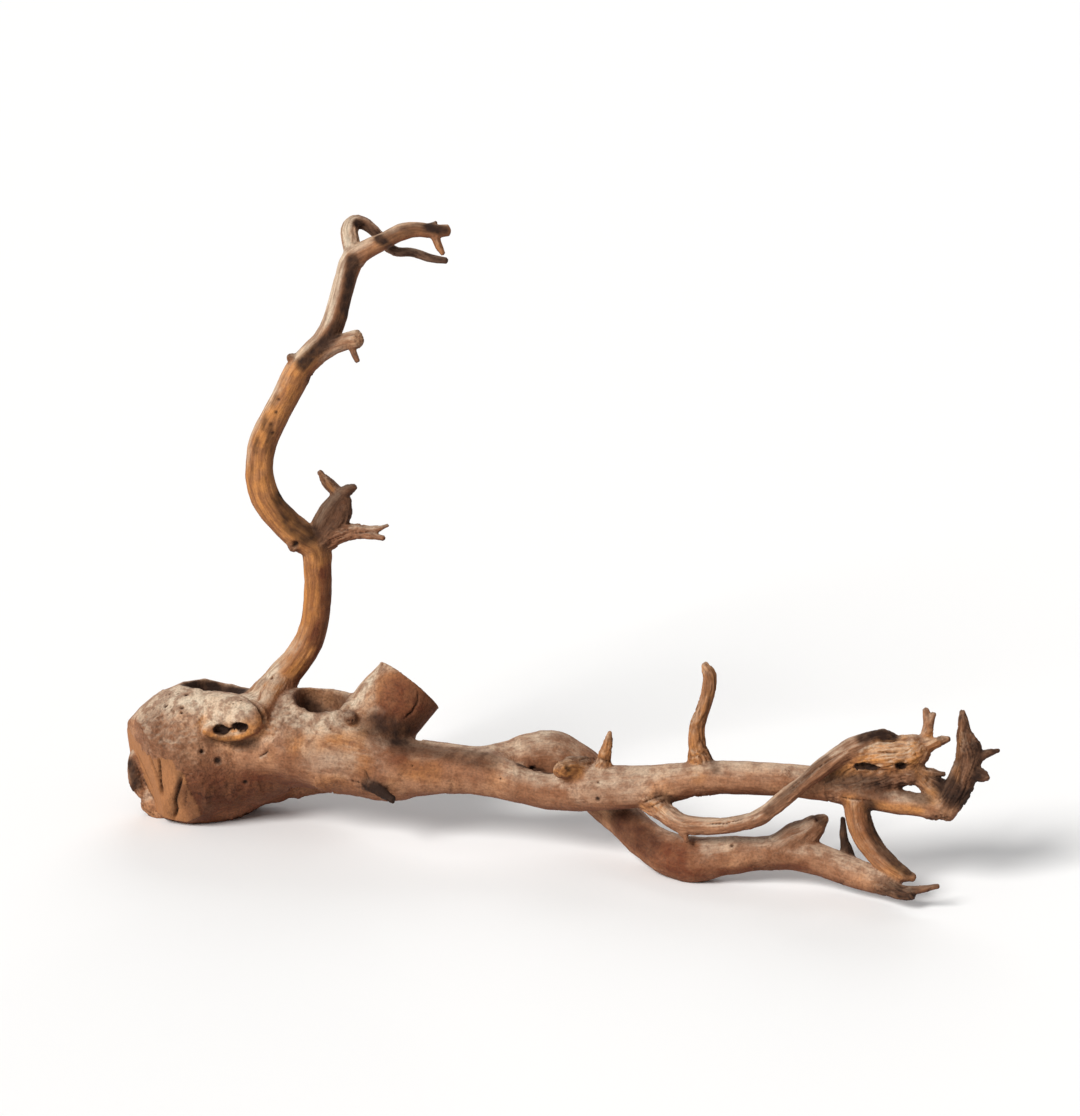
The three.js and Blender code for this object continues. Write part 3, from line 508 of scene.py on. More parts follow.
def seen(points):
    """Points of the view, as points of the standing root."""
    points = np.asarray(points, float)
    flat = VIEW_CENTRE[:2] + (points[..., :2] - VIEW_CENTRE[:2]) * spread(points[..., 2:])
    return turned(np.concatenate([flat, points[..., 2:]], axis=-1)) + SHIFT


def unit(vectors):
    """Vectors of length one, the same ways."""
    return vectors / np.linalg.norm(vectors, axis=-1, keepdims=True)


def smooth(value, low, high):
    """0 below low, 1 above high, and an even curve between them."""
    share = np.clip((value - low) / (high - low), 0, 1)
    return share * share * (3 - 2 * share)


def noise(points, seed):
    """Smooth noise from about -1 to 1, with lumps about one unit across."""
    points = np.asarray(points, np.float32)
    cell = np.floor(points)
    inside = points - cell
    cell = cell.astype(np.int64).astype(np.uint32)
    fade = inside**3 * (inside * (inside * 6 - 15) + 10)
    total = np.zeros(len(points), np.float32)
    for corner in np.ndindex(2, 2, 2):
        key = sum((cell[:, i] + np.uint32(corner[i])) * PRIMES[i] for i in range(3))
        key = key + SEED_STEP * np.full(1, seed, np.uint32)
        key = (key ^ (key >> np.uint32(15))) * PRIMES[1]
        key = (key ^ (key >> np.uint32(13))) * PRIMES[2]
        weight = np.ones(len(points), np.float32)
        slope = np.zeros(len(points), np.float32)
        for i in range(3):
            weight *= fade[:, i] if corner[i] else 1 - fade[:, i]
            gradient = ((key >> np.uint32(10 * i)) & np.uint32(1023)).astype(np.float32) / 511.5 - 1
            slope += gradient * (inside[:, i] - corner[i])
        total += weight * slope
    return 1.7 * total


def curve_span(before, start, end, after, shares):
    """Points between start and end of a centripetal curve through four points."""
    steps = [math.sqrt(np.linalg.norm(b - a)) for a, b in ((before, start), (start, end), (end, after))]
    first = (start - before) / steps[0] - (end - before) / (steps[0] + steps[1]) + (end - start) / steps[1]
    second = (end - start) / steps[1] - (after - start) / (steps[1] + steps[2]) + (after - end) / steps[2]
    first, second = first * steps[1], second * steps[1]
    t = shares[:, None]
    bend = 2 * (start - end) + first + second
    return start + t * first + t**2 * (3 * (end - start) - 2 * first - second) + t**3 * bend


class Line:
    """The middle line of a limb: its sections, close together, from end to end."""

    def __init__(self, limb):
        stations = np.array(limb.stations, float)
        middles = seen(stations[:, :3])
        widths = stations[:, 3] * spread(stations[:, 2])
        ends = np.vstack([2 * middles[0] - middles[1], middles, 2 * middles[-1] - middles[-2]])
        centres, radii = [], []
        for i in range(len(middles) - 1):
            length = np.linalg.norm(middles[i + 1] - middles[i])
            parts = max(1, round(length / np.clip(widths[i] / 4, 2, 6)))
            shares = np.arange(parts + (i == len(middles) - 2)) / parts
            centres.append(curve_span(*ends[i:i + 4], shares))
            radii.append(widths[i] + (widths[i + 1] - widths[i]) * smooth(shares, 0, 1))
        self.centres = np.vstack(centres)
        self.radii = np.concatenate(radii)
        lengths = np.linalg.norm(np.diff(self.centres, axis=0), axis=1)
        self.along = np.concatenate([[0], np.cumsum(lengths)])
        self.tangents = unit(np.gradient(self.centres, axis=0))
        side = turned((0, 0, 1))
        sides = []
        for tangent in self.tangents:
            side = unit(side - tangent * (side @ tangent))
            sides.append(side)
        self.sides = np.array(sides)
        self.others = np.cross(self.tangents, self.sides)

    def box(self, margin):
        """The two corners of the limb's box, with a margin round it."""
        reach = self.radii[:, None] + margin
        return (self.centres - reach).min(0), (self.centres + reach).max(0)

    def place(self, points):
        """Where points lie beside the limb: along it, the two offsets across it, and its radius there."""
        centres = self.centres.astype(np.float32)
        squares = (centres**2).sum(1)
        nearest = np.concatenate([
            (squares - 2 * block.astype(np.float32) @ centres.T).argmin(1)
            for block in np.array_split(points, 1 + len(points) // AT_ONCE)
        ])
        offsets = points - self.centres[nearest]
        ahead = (offsets * self.tangents[nearest]).sum(1)
        side = (offsets * self.sides[nearest]).sum(1)
        other = (offsets * self.others[nearest]).sum(1)
        return self.along[nearest] + ahead, side, other, self.radii[nearest]


class Field:
    """Distances to a skin on a grid between two corners, negative inside it, and no larger than REACH."""

    def __init__(self, low, high):
        self.first = np.floor(np.asarray(low) / VOXEL).astype(int)
        self.size = np.ceil(np.asarray(high) / VOXEL).astype(int) - self.first + 1
        self.values = np.full(self.size, REACH, np.float32)

    def part(self, low, high):
        """The slices between two corners, and where the points there lie along each axis."""
        start = np.clip(np.floor(low / VOXEL).astype(int) - self.first, 0, self.size)
        stop = np.clip(np.ceil(high / VOXEL).astype(int) - self.first + 1, 0, self.size)
        cells = [np.arange(a, b) + f for a, b, f in zip(start, stop, self.first)]
        axes = [(c * VOXEL).astype(np.float32) for c in cells]
        cut = tuple(slice(a, b) for a, b in zip(start, stop))
        return cut, axes[0][:, None, None], axes[1][None, :, None], axes[2][None, None, :]

    def axes(self):
        """Where all the grid's points lie along each axis."""
        return self.part(self.first * VOXEL, (self.first + self.size) * VOXEL)[1:]

    def overlap(self, other):
        """The cells that another field has in common with this one, in this one and in the other."""
        start = np.maximum(other.first, self.first)
        stop = np.minimum(other.first + other.size, self.first + self.size)
        return [tuple(slice(a, b) for a, b in zip(start - f.first, stop - f.first)) for f in (self, other)]

    def join(self, other, fillet):
        """Adds another field, with a fillet where the two meet."""
        cut, other_cut = self.overlap(other)
        here, there = self.values[cut], other.values[other_cut]
        filled = np.maximum(fillet - np.abs(here - there), 0) ** 2 / (4 * fillet)
        filled[np.maximum(here, there) >= REACH] = 0
        self.values[cut] = np.minimum(here, there) - filled

    def hollow_out(self, other, rim):
        """Takes another field away, with its rim worn round."""
        cut, other_cut = self.overlap(other)
        here, there = self.values[cut], -other.values[other_cut]
        worn = np.maximum(rim - np.abs(here - there), 0) ** 2 / (4 * rim)
        self.values[cut] = np.maximum(here, there) + worn

    def trim(self, at, faces, reach):
        """Takes away what lies beyond a plane, within a reach of a point of it."""
        cut, x, y, z = self.part(at - reach, at + reach)
        beyond = (x - at[0]) * faces[0] + (y - at[1]) * faces[1] + (z - at[2]) * faces[2]
        self.values[cut] = np.maximum(self.values[cut], beyond)

    def at(self, points):
        """The distances at points, from the nearest grid point."""
        cells = np.clip(np.round(points / VOXEL).astype(int) - self.first, 0, self.size - 1)
        return self.values[cells[:, 0], cells[:, 1], cells[:, 2]]


def limb_field(line, blunt):
    """A limb: a row of short cones along its middle line, with blunt ends."""
    field = Field(*line.box(REACH))
    last = len(line.centres) - 2
    for i in range(last + 1):
        start, end = line.centres[i], line.centres[i + 1]
        wide = max(line.radii[i], line.radii[i + 1]) + REACH
        cut, x, y, z = field.part(np.minimum(start, end) - wide, np.maximum(start, end) + wide)
        x, y, z = x - np.float32(start[0]), y - np.float32(start[1]), z - np.float32(start[2])
        axis = (end - start).astype(np.float32)
        length = float(np.linalg.norm(axis))
        ahead = (x * axis[0] + y * axis[1] + z * axis[2]) / length**2
        share = np.clip(ahead, 0, 1)
        square = (x - share * axis[0]) ** 2 + (y - share * axis[1]) ** 2 + (z - share * axis[2]) ** 2
        if i == 0:
            square += (np.minimum(ahead, 0) * length) ** 2 * (1 / blunt**2 - 1)
        if i == last:
            square += (np.maximum(ahead - 1, 0) * length) ** 2 * (1 / blunt**2 - 1)
        gap = np.sqrt(square) - (line.radii[i] + share * (line.radii[i + 1] - line.radii[i]))
        field.values[cut] = np.minimum(field.values[cut], gap)
    return field


def turned_field(line, blunt):
    """A limb with a nearly straight middle line and a fast changing radius, as if turned on a lathe."""
    field = Field(*line.box(REACH))
    start, end = line.centres[0], line.centres[-1]
    length = np.linalg.norm(end - start)
    axis = (end - start) / length
    x, y, z = field.axes()
    ahead = (x - start[0]) * axis[0] + (y - start[1]) * axis[1] + (z - start[2]) * axis[2]
    past = ahead - np.clip(ahead, 0, length)
    middles = [np.interp(ahead, line.along, line.centres[:, i]) + past * axis[i] for i in range(3)]
    radial = np.sqrt((x - middles[0]) ** 2 + (y - middles[1]) ** 2 + (z - middles[2]) ** 2)
    rounding = np.linspace(1, 0, 8, endpoint=False)
    caps = [line.radii[i] * np.sqrt(1 - rounding**2) for i in (0, -1)]
    along = np.concatenate([
        -blunt * line.radii[0] * rounding, line.along, length + blunt * line.radii[-1] * rounding[::-1]
    ])
    radii = np.concatenate([caps[0], line.radii, caps[1][::-1]])
    slope = np.gradient(radii, along)
    gap = (radial - np.interp(ahead, along, radii)) / np.sqrt(1 + np.interp(ahead, along, slope) ** 2)
    gap = np.maximum(gap, np.maximum(along[0] - ahead, ahead - along[-1]))
    field.values = np.minimum(gap, REACH).astype(np.float32)
    return field


def egg_field(at, half, lean=0.0, wear=0.0):
    """An egg shape at a point of the view. wear is how far its skin wanders in and out."""
    middle, half = seen(at), np.array(half, float)
    reach = max(half) + REACH
    field = Field(middle - reach, middle + reach)
    x, y, z = field.axes()
    x, y, z = x - middle[0], y - middle[1], z - middle[2]
    y, z = y * math.cos(lean) + z * math.sin(lean), z * math.cos(lean) - y * math.sin(lean)
    share = np.sqrt((x / half[0]) ** 2 + (y / half[1]) ** 2 + (z / half[2]) ** 2)
    slope = np.sqrt((x / half[0] ** 2) ** 2 + (y / half[1] ** 2) ** 2 + (z / half[2] ** 2) ** 2)
    values = share * (share - 1) / np.maximum(slope, 0.001)
    if wear:
        cells = np.argwhere(np.ones(field.size, bool)) + field.first
        wander = noise(cells * VOXEL / (1.5 + 0.5 * min(half)), SEEDS["wear"])
        values = values + wear * wander.reshape(values.shape)
    field.values = np.minimum(values, REACH).astype(np.float32)
    return field


def wood_field(lines):
    """The whole root as a field."""
    low, high = (np.array(corner) / MM for corner in CAD_BOX)
    wood = Field(low - MARGIN, high + MARGIN)
    wood.join(turned_field(Line(BURL), BURL.blunt), BURL_FILLET)
    for at, half in BURL_FEET:
        wood.join(egg_field(at, half), FOOT_FILLET)
    for at, faces in AXE_CUTS:
        wood.trim(seen(at), unit(turned(faces)), CUT_REACH)
    for name, limb in LIMBS.items():
        part = limb_field(lines[name], limb.blunt)
        if name == SAWN:
            part.trim(seen(SAW_CUT[0]), unit(turned(SAW_CUT[1])), CUT_REACH)
        wood.join(part, float(np.clip(0.3 * lines[name].radii.mean(), 1, 4)))
    for at, half, lean, _ in HOLLOWS:
        small = min(half)
        wear = 0.07 if small > 8 else 0.3
        wood.hollow_out(egg_field(at, half, lean, wear * small), 0.3 * small)
    # Nothing lies below the table, and what would have reached through it is flat there.
    wood.values[:, :, :max(0, -wood.first[2])] = REACH
    cut, _, _, z = wood.part(low - MARGIN, np.array([high[0] + MARGIN, high[1] + MARGIN, REACH]))
    wood.values[cut] = np.maximum(wood.values[cut], -z)
    return wood


def skin_of(field):
    """The field's skin as points and four-sided faces."""
    grid = openvdb.FloatGrid(REACH)
    grid.copyFromArray(field.values)
    points, faces = grid.convertToQuads()
    return (points.astype(float) + field.first) * VOXEL, faces


def normals_of(points, faces):
    """Which way the skin faces at each point."""
    a, b, c, d = (points[faces[:, i]] for i in range(4))
    across = np.cross(c - a, d - b)
    total = np.zeros_like(points)
    for i in range(3):
        total[:, i] = np.bincount(faces.ravel(), np.repeat(across[:, i], 4), len(points))
    return total / np.maximum(np.linalg.norm(total, axis=1, keepdims=True), 1e-9)


def drawn(points):
    """Points of the standing root, as points of the view."""
    across, back, up = np.moveaxis(points - SHIFT, -1, 0)
    cos, sin = math.cos(VIEW_TILT), math.sin(VIEW_TILT)
    flat, away = np.stack([across, back * sin + up * cos], axis=-1), back * cos - up * sin
    flat = VIEW_CENTRE[:2] + (flat - VIEW_CENTRE[:2]) / spread(away)[..., None]
    return np.concatenate([flat, away[..., None]], axis=-1)


def within(points, outline):
    """Which points of the view lie within an outline across and up."""
    inside = np.zeros(len(points), bool)
    for (x0, y0), (x1, y1) in zip(outline, outline[1:] + outline[:1]):
        crosses = (points[:, 1] > y0) != (points[:, 1] > y1)
        inside ^= crosses & (points[:, 0] < x0 + (x1 - x0) * (points[:, 1] - y0) / (y1 - y0 + 1e-9))
    return inside


def girth(angle, along, seed):
    """The uneven girth of grown wood, from -1 to 1, round a limb and along it."""
    return (
        0.55 * np.sin(2 * angle + along / 21 + seed)
        + 0.3 * np.sin(3 * angle - along / 15 + 2 * seed)
        + 0.15 * np.sin(5 * angle + along / 10 + 3 * seed)
    )


class Skin:
    """The wood's skin while it is carved: its points, how far each is carved out, and its colours."""

    def __init__(self, field):
        self.field = field
        self.points, self.faces = skin_of(field)
        self.normals = normals_of(self.points, self.faces)
        count = len(self.points)
        self.height = np.zeros(count)
        self.looks = {name: np.zeros(count) for name in ("dark", "warm", "grey", "red", "raw", "pure")}
        self.grain = np.zeros((count, 3))
        self.tree = KDTree(count)
        for i, point in enumerate(self.points):
            self.tree.insert(point, i)
        self.tree.balance()

    def near(self, across, up, reach):
        """The points round the first wood behind a point of the view, and how far off they are."""
        ray = seen(np.stack([np.full_like(DEPTHS, across), np.full_like(DEPTHS, up), DEPTHS], axis=-1))
        inside = np.flatnonzero(self.field.at(ray) < 0)
        found = self.tree.find_range(Vector(ray[inside[0]]), reach) if len(inside) else []
        return np.array([f[1] for f in found], int), np.array([f[2] for f in found])

    def darken(self, near, least):
        """Makes points at least so dark."""
        self.looks["dark"][near] = np.maximum(self.looks["dark"][near], least)


def fibres(limb, seed, along, side, other, radius):
    """How far a limb's fibres stand out: long grooves, and ridges between them."""
    turn = limb.twist * along
    side, other = side * np.cos(turn) - other * np.sin(turn), side * np.sin(turn) + other * np.cos(turn)
    pitch = 1.1 + 0.09 * radius.mean()
    ridges = noise(np.stack([along / (9 * pitch), side / pitch, other / pitch], axis=-1), seed)
    wide = 2.6 * pitch
    broad = np.stack([along / (16 * pitch), side / wide, other / wide], axis=-1)
    swell = noise(broad, seed + SEEDS["swell"])
    grooves = 1 - smooth(np.abs(ridges), 0.02, 0.3)
    depth = limb.groove * np.minimum(radius, 12)
    return depth * (0.9 * swell - 1.3 * grooves + 0.3 * ridges), grooves


def carve_limbs(skin, lines):
    """Gives each point the girth, fibres and colours of its limbs, and paints shade into their grooves."""
    count = len(skin.points)
    total = np.full(count, 1e-6)
    best, second, clear, height, skin.girth = np.zeros((5, count))
    tone = {name: np.zeros(count) for name in ("dark", "warm", "grey")}
    limbs = [(BURL, Line(BURL), BURL_SEED)]
    limbs += [(limb, lines[name], seed) for seed, (name, limb) in enumerate(LIMBS.items())]
    for number, (limb, line, seed) in enumerate(limbs):
        low, high = line.box(LIMB_REACH)
        near = np.flatnonzero(np.all((skin.points > low) & (skin.points < high), axis=1))
        if not len(near):
            continue
        along, side, other, radius = line.place(skin.points[near])
        gap = np.hypot(side, other) - radius
        weight = np.exp(-np.clip(gap, -3, 12) / 0.8) * (gap < LIMB_REACH)
        weight *= (along > -1.5 * radius) & (along < line.along[-1] + 1.5 * radius)
        raised, grooves = fibres(limb, number, along, side, other, radius)
        raised += radius * limb.relief * girth(np.arctan2(other, side), along, seed)
        height[near] += weight * raised
        for name in tone:
            tone[name][near] += weight * getattr(limb, name)
        # Painted shade in the fibres' grooves.
        tone["dark"][near] += weight * 0.35 * grooves * smooth(np.full(len(near), limb.groove), 0.03, 0.12)
        total[near] += weight
        leads = weight > best[near]
        second[near] = np.where(leads, best[near], np.maximum(second[near], weight))
        best[near] = np.where(leads, weight, best[near])
        local = np.stack([along, side, other], axis=-1) + 300.0 * number
        skin.grain[near[leads]] = local[leads]
        clear[near[leads]] = limb.grain
        skin.girth[near[leads]] = radius[leads]
    skin.height += height / total
    for name in tone:
        skin.looks[name] += tone[name] / total
    skin.looks["pure"] = clear * smooth((best - second) / (best + second + 1e-9), 0.15, 0.7)


def carve_lumps(skin):
    """Gives all the wood gentle lumps."""
    seed = SEEDS["lumps"]
    skin.height += 0.35 * noise(skin.points / 13, seed) + 0.16 * noise(skin.points / 5, seed + 1)


def mark_cuts(skin):
    """Finds the flat faces that the axe and the saw left, and keeps them nearly flat."""
    hewn = within(drawn(skin.points + 0.7 * noise(skin.points / 3, SEEDS["hewn"])[:, None]), HEWN)
    for at, faces in [*AXE_CUTS, SAW_CUT]:
        middle, out = seen(at), unit(turned(faces))
        offset = skin.points - middle
        flat = 1 - smooth(np.abs(offset @ out), 0.5, 1.1)
        facing = smooth(skin.normals @ out, 0.75, 0.93)
        close = np.linalg.norm(offset, axis=1) < CUT_REACH
        bare = flat * facing * close * (hewn | ((at, faces) == SAW_CUT))
        skin.looks["raw"] = np.maximum(skin.looks["raw"], bare)
    skin.height *= 1 - 0.85 * skin.looks["raw"]


def steps_along(route, step):
    """Points along a route over the front, a step apart."""
    points = [route[0]]
    for start, end in zip(np.array(route[:-1]), np.array(route[1:])):
        count = max(1, math.ceil(np.linalg.norm(end - start) / step))
        points += [start + (end - start) * (i + 1) / count for i in range(count)]
    return points


def patch_of(skin, spots):
    """How far each point lies in some round patches of the front: 1 in them, and 0 well outside."""
    patch = np.zeros(len(skin.points))
    for across, up, radius in spots:
        near, gap = skin.near(across, up, 1.4 * radius)
        patch[near] = np.maximum(patch[near], 1 - smooth(gap, 0.5 * radius, 1.4 * radius))
    return patch


def roughen(skin, patch, sizes, seed, rise, sink, dark_from):
    """Roughens the wood of a patch, with lumps of two sizes, and paints shade into its pits."""
    near = np.flatnonzero(patch > 0.01)
    points = skin.points[near]
    rough = noise(points / sizes[0], seed) + 0.6 * noise(points / sizes[1], seed + 1)
    skin.height[near] += patch[near] * (rise * rough - sink)
    # Painted shade in the pits.
    skin.looks["dark"][near] += patch[near] * 0.35 * smooth(-rough, dark_from, 1.0)


def carve_spongy(skin):
    """Gives patches worm-eaten, spongy wood."""
    patch = patch_of(skin, SPONGY)
    for at, half, *_ in HOLLOWS[:2]:
        gap = np.linalg.norm((skin.points - seen(at)) / (np.array(half) + 3), axis=1)
        patch = np.maximum(patch, 0.4 - 0.4 * smooth(gap, 0.85, 1.05))
    patch *= 1 - skin.looks["raw"]
    roughen(skin, patch, (2.2, 4.6), SEEDS["sponge"], rise=0.75, sink=0.2, dark_from=0.2)


def carve_ragged(skin):
    """Roughens the wood round knots and broken ends."""
    patch = np.zeros(len(skin.points))
    for across, up, radius, roughness in RAGGED:
        patch = np.maximum(patch, roughness * patch_of(skin, [(across, up, radius)]))
    roughen(skin, patch, (2.4, 5), SEEDS["ragged"], rise=0.5, sink=0, dark_from=0.3)


def paint_stains_light_and_shade(skin):
    """Stains the front unevenly, paints shade and highlights on it, and paints shade in the hollows."""
    seed = SEEDS["paint_stains_light_and_shade"]
    uneven = 0.9 + 0.2 * noise(skin.points / 5, seed) + 0.12 * noise(skin.points / 1.7, seed + 1)
    for look, stains_and_painted_light in STAINS_AND_PAINTED_LIGHT.items():
        for strength, width, *route in stains_and_painted_light:
            spots = [(*point, width) for point in steps_along(route, 0.5 * width)]
            skin.looks[look] += strength * patch_of(skin, spots) * uneven
    skin.looks["dark"] = np.minimum(skin.looks["dark"], DARKEST)
    # Painted shade inside the hollows, darker towards their bottom.
    for at, half, _, dark in HOLLOWS:
        offset = (skin.points - seen(at)) / np.array(half)
        inner = 1 - smooth(np.linalg.norm(offset, axis=1), 1.0, 1.22)
        deep = dark + (1 - dark) * smooth(-offset[:, 2], 0, 0.9)
        skin.darken(slice(None), inner * deep)


def carve_back(skin):
    """Gives the back, which the photograph hides, the same kinds of patches as the front."""
    behind = smooth(skin.normals @ turned((0, 0, 1)), 0.05, 0.5) * (1 - skin.looks["raw"])
    sizes = (24, 3.4, 2.3, 30, 20)
    patches, dots, rough, bleached, warm = (
        noise(skin.points / size, SEEDS["back"] + i) for i, size in enumerate(sizes)
    )
    pits = smooth(dots, 0.45, 0.9) * smooth(patches, -0.1, 0.5)
    thick = smooth(skin.girth, 8, 25)
    skin.height -= 1.1 * behind * pits * thick
    skin.height += 0.45 * behind * thick * smooth(patches, 0, 0.6) * rough
    # Painted shade in the pits, and darker patches at random.
    skin.looks["dark"] += behind * (0.6 * pits * thick + 0.3 * smooth(-patches, 0.1, 0.8))
    skin.looks["grey"] += 0.35 * behind * smooth(bleached, 0, 0.7)
    skin.looks["warm"] += 0.5 * behind * smooth(warm, 0, 0.7)


def dust_and_painted_light(skin, points):
    """Bleaches the wood that faces up, partly as a painted highlight, and paints redder, darker shade
    below.
    """
    facing = normals_of(points, skin.faces) @ unit(DUST_AND_LIGHT_SIDE)
    seed = SEEDS["dust_and_painted_light"]
    uneven = noise(points / 9, seed) + 0.6 * noise(points / 3.2, seed + 1)
    # Pale dust on the tops, and a painted highlight on the side towards the key light.
    skin.looks["grey"] += smooth(facing + 0.16 * uneven, 0.4, 1.15) * 0.75
    skin.looks["grey"] *= 1 - 0.8 * np.clip(skin.looks["dark"], 0, 1)
    # Painted shade: redder, darker wood where it faces away from the light.
    skin.looks["red"] += smooth(0.14 * uneven - facing, -0.25, 0.75) * 0.95


def carve_holes(skin):
    """Sinks the insect holes and knot holes, and paints shade into them."""
    for across, up, radius, depth in HOLES:
        near, gap = skin.near(across, up, 2.2 * radius + 0.5)
        sunk = 1 - smooth(gap, 0.35 * radius, 1.25 * radius)
        skin.height[near] -= depth * sunk
        # Painted shade in the holes.
        skin.darken(near, 0.95 * sunk)


def carve_cracks(skin):
    """Opens the cracks, which taper at both ends, and paints shade into them."""
    for width, depth, *route in CRACKS:
        points = steps_along(route, 0.5)
        for i, (across, up) in enumerate(points):
            taper = min(1, 6 * min(i + 1, len(points) - i) / len(points))
            near, gap = skin.near(across, up, width)
            sunk = taper * (1 - smooth(gap, 0.15 * width, 0.75 * width))
            # Painted shade in the cracks.
            skin.darken(near, 0.9 * sunk)
            skin.height[near] = np.minimum(skin.height[near], (1 - sunk) * skin.height[near] - depth * sunk)


def add_object(name, data):
    made = bpy.data.objects.new(name, data)
    bpy.context.scene.collection.objects.link(made)
    return made


def thin_out(piece):
    """Brings the piece's mesh down to the triangles that it may have, with most where it bends most."""
    count = sum(len(p.vertices) - 2 for p in piece.data.polygons)
    thinner = piece.modifiers.new("thinner", "DECIMATE")
    thinner.ratio = min(1.0, TRIANGLES / count)
    graph = bpy.context.evaluated_depsgraph_get()
    mesh = bpy.data.meshes.new_from_object(piece.evaluated_get(graph))
    piece.modifiers.clear()
    piece.data = mesh


def drop_scraps(mesh):
    """Deletes the faces that don't join the skin, which line tiny bubbles within the wood."""
    whole = bmesh.new()
    whole.from_mesh(mesh)
    top = max(whole.verts, key=lambda vert: vert.co.z)
    joined, ahead = {top}, [top]
    while ahead:
        vert = ahead.pop()
        for other in [edge.other_vert(vert) for edge in vert.link_edges]:
            if other not in joined:
                joined.add(other)
                ahead.append(other)
    loose = [vert for vert in whole.verts if vert not in joined]
    bmesh.ops.delete(whole, geom=loose, context="VERTS")
    whole.to_mesh(mesh)
    whole.free()


def wood_piece():
    """The whole root as one piece, which carries its looks and its grain point by point."""
    lines = {name: Line(limb) for name, limb in LIMBS.items()}
    skin = Skin(wood_field(lines))
    carve_limbs(skin, lines)
    carve_lumps(skin)
    mark_cuts(skin)
    carve_spongy(skin)
    carve_ragged(skin)
    carve_back(skin)
    paint_stains_light_and_shade(skin)
    carve_holes(skin)
    carve_cracks(skin)
    skin.height[skin.points[:, 2] < FLAT_BELOW] = 0
    points = skin.points + skin.normals * skin.height[:, None]
    dust_and_painted_light(skin, points)
    low, high = (np.array(corner) for corner in CAD_BOX)
    points = np.clip(points * MM, low, high)

    mesh = bpy.data.meshes.new("root_skin")
    mesh.from_pydata(points, [], skin.faces.tolist())
    for name, values in skin.looks.items():
        mesh.attributes.new(name, "FLOAT", "POINT").data.foreach_set("value", np.clip(values, 0, 1))
    mesh.attributes.new("grain", "FLOAT_VECTOR", "POINT").data.foreach_set("vector", skin.grain.ravel())
    piece = add_object("root_wood", mesh)
    thin_out(piece)
    drop_scraps(piece.data)
    piece.data.shade_smooth()
    return piece


class Shader:
    """Makes the nodes of a material, and links them."""

    def __init__(self, name):
        self.material = bpy.data.materials.new(name)
        self.material.use_nodes = True
        self.tree = self.material.node_tree
        self.tree.nodes.clear()

    def put(self, socket, value):
        if isinstance(value, bpy.types.NodeSocket):
            self.tree.links.new(value, socket)
        else:
            socket.default_value = value

    def node(self, kind, inputs=(), **settings):
        made = self.tree.nodes.new(kind)
        for name, value in settings.items():
            setattr(made, name, value)
        for name, value in dict(inputs).items():
            self.put(made.inputs[name], value)
        return made

    def value(self, name):
        """A number that the mesh's points carry."""
        return self.node("ShaderNodeAttribute", attribute_name=name).outputs["Fac"]

    def math(self, operation, a, b=0.0):
        return self.node("ShaderNodeMath", {0: a, 1: b}, operation=operation).outputs[0]

    def grey(self, value):
        """A number as a colour."""
        return self.node("ShaderNodeCombineColor", {0: value, 1: value, 2: value}).outputs[0]

    def scaled(self, vector, scale):
        node = self.node("ShaderNodeVectorMath", {0: vector, 1: scale}, operation="MULTIPLY")
        return node.outputs[0]

    def noise(self, vector, scale, detail=2.0, roughness=0.5):
        inputs = {"Vector": vector, "Scale": scale, "Detail": detail, "Roughness": roughness}
        return self.node("ShaderNodeTexNoise", inputs).outputs["Fac"]

    def ramp(self, value, low, high, start=0.0, end=1.0):
        """A smooth step from start to end as a value goes from low to high."""
        inputs = {"Value": value, "From Min": low, "From Max": high, "To Min": start, "To Max": end}
        return self.node("ShaderNodeMapRange", inputs, interpolation_type="SMOOTHSTEP").outputs[0]

    def mix(self, share, a, b, way="MIX"):
        """A mix of two colours."""
        node = self.node("ShaderNodeMix", data_type="RGBA", blend_type=way)
        self.put(node.inputs[0], share)
        for socket, colour in ((node.inputs[6], a), (node.inputs[7], b)):
            self.put(socket, (*linear(colour), 1) if isinstance(colour, tuple) else colour)
        return node.outputs[2]

    def surface(self, inputs):
        """The material, with these inputs to its surface."""
        shader = self.node("ShaderNodeBsdfPrincipled", inputs)
        self.node("ShaderNodeOutputMaterial", {"Surface": shader.outputs[0]})
        return self.material


def linear(colour):
    """A colour of a picture, as light."""
    return tuple(c / 12.92 if c <= 0.04045 else ((c + 0.055) / 1.055) ** 2.4 for c in colour)


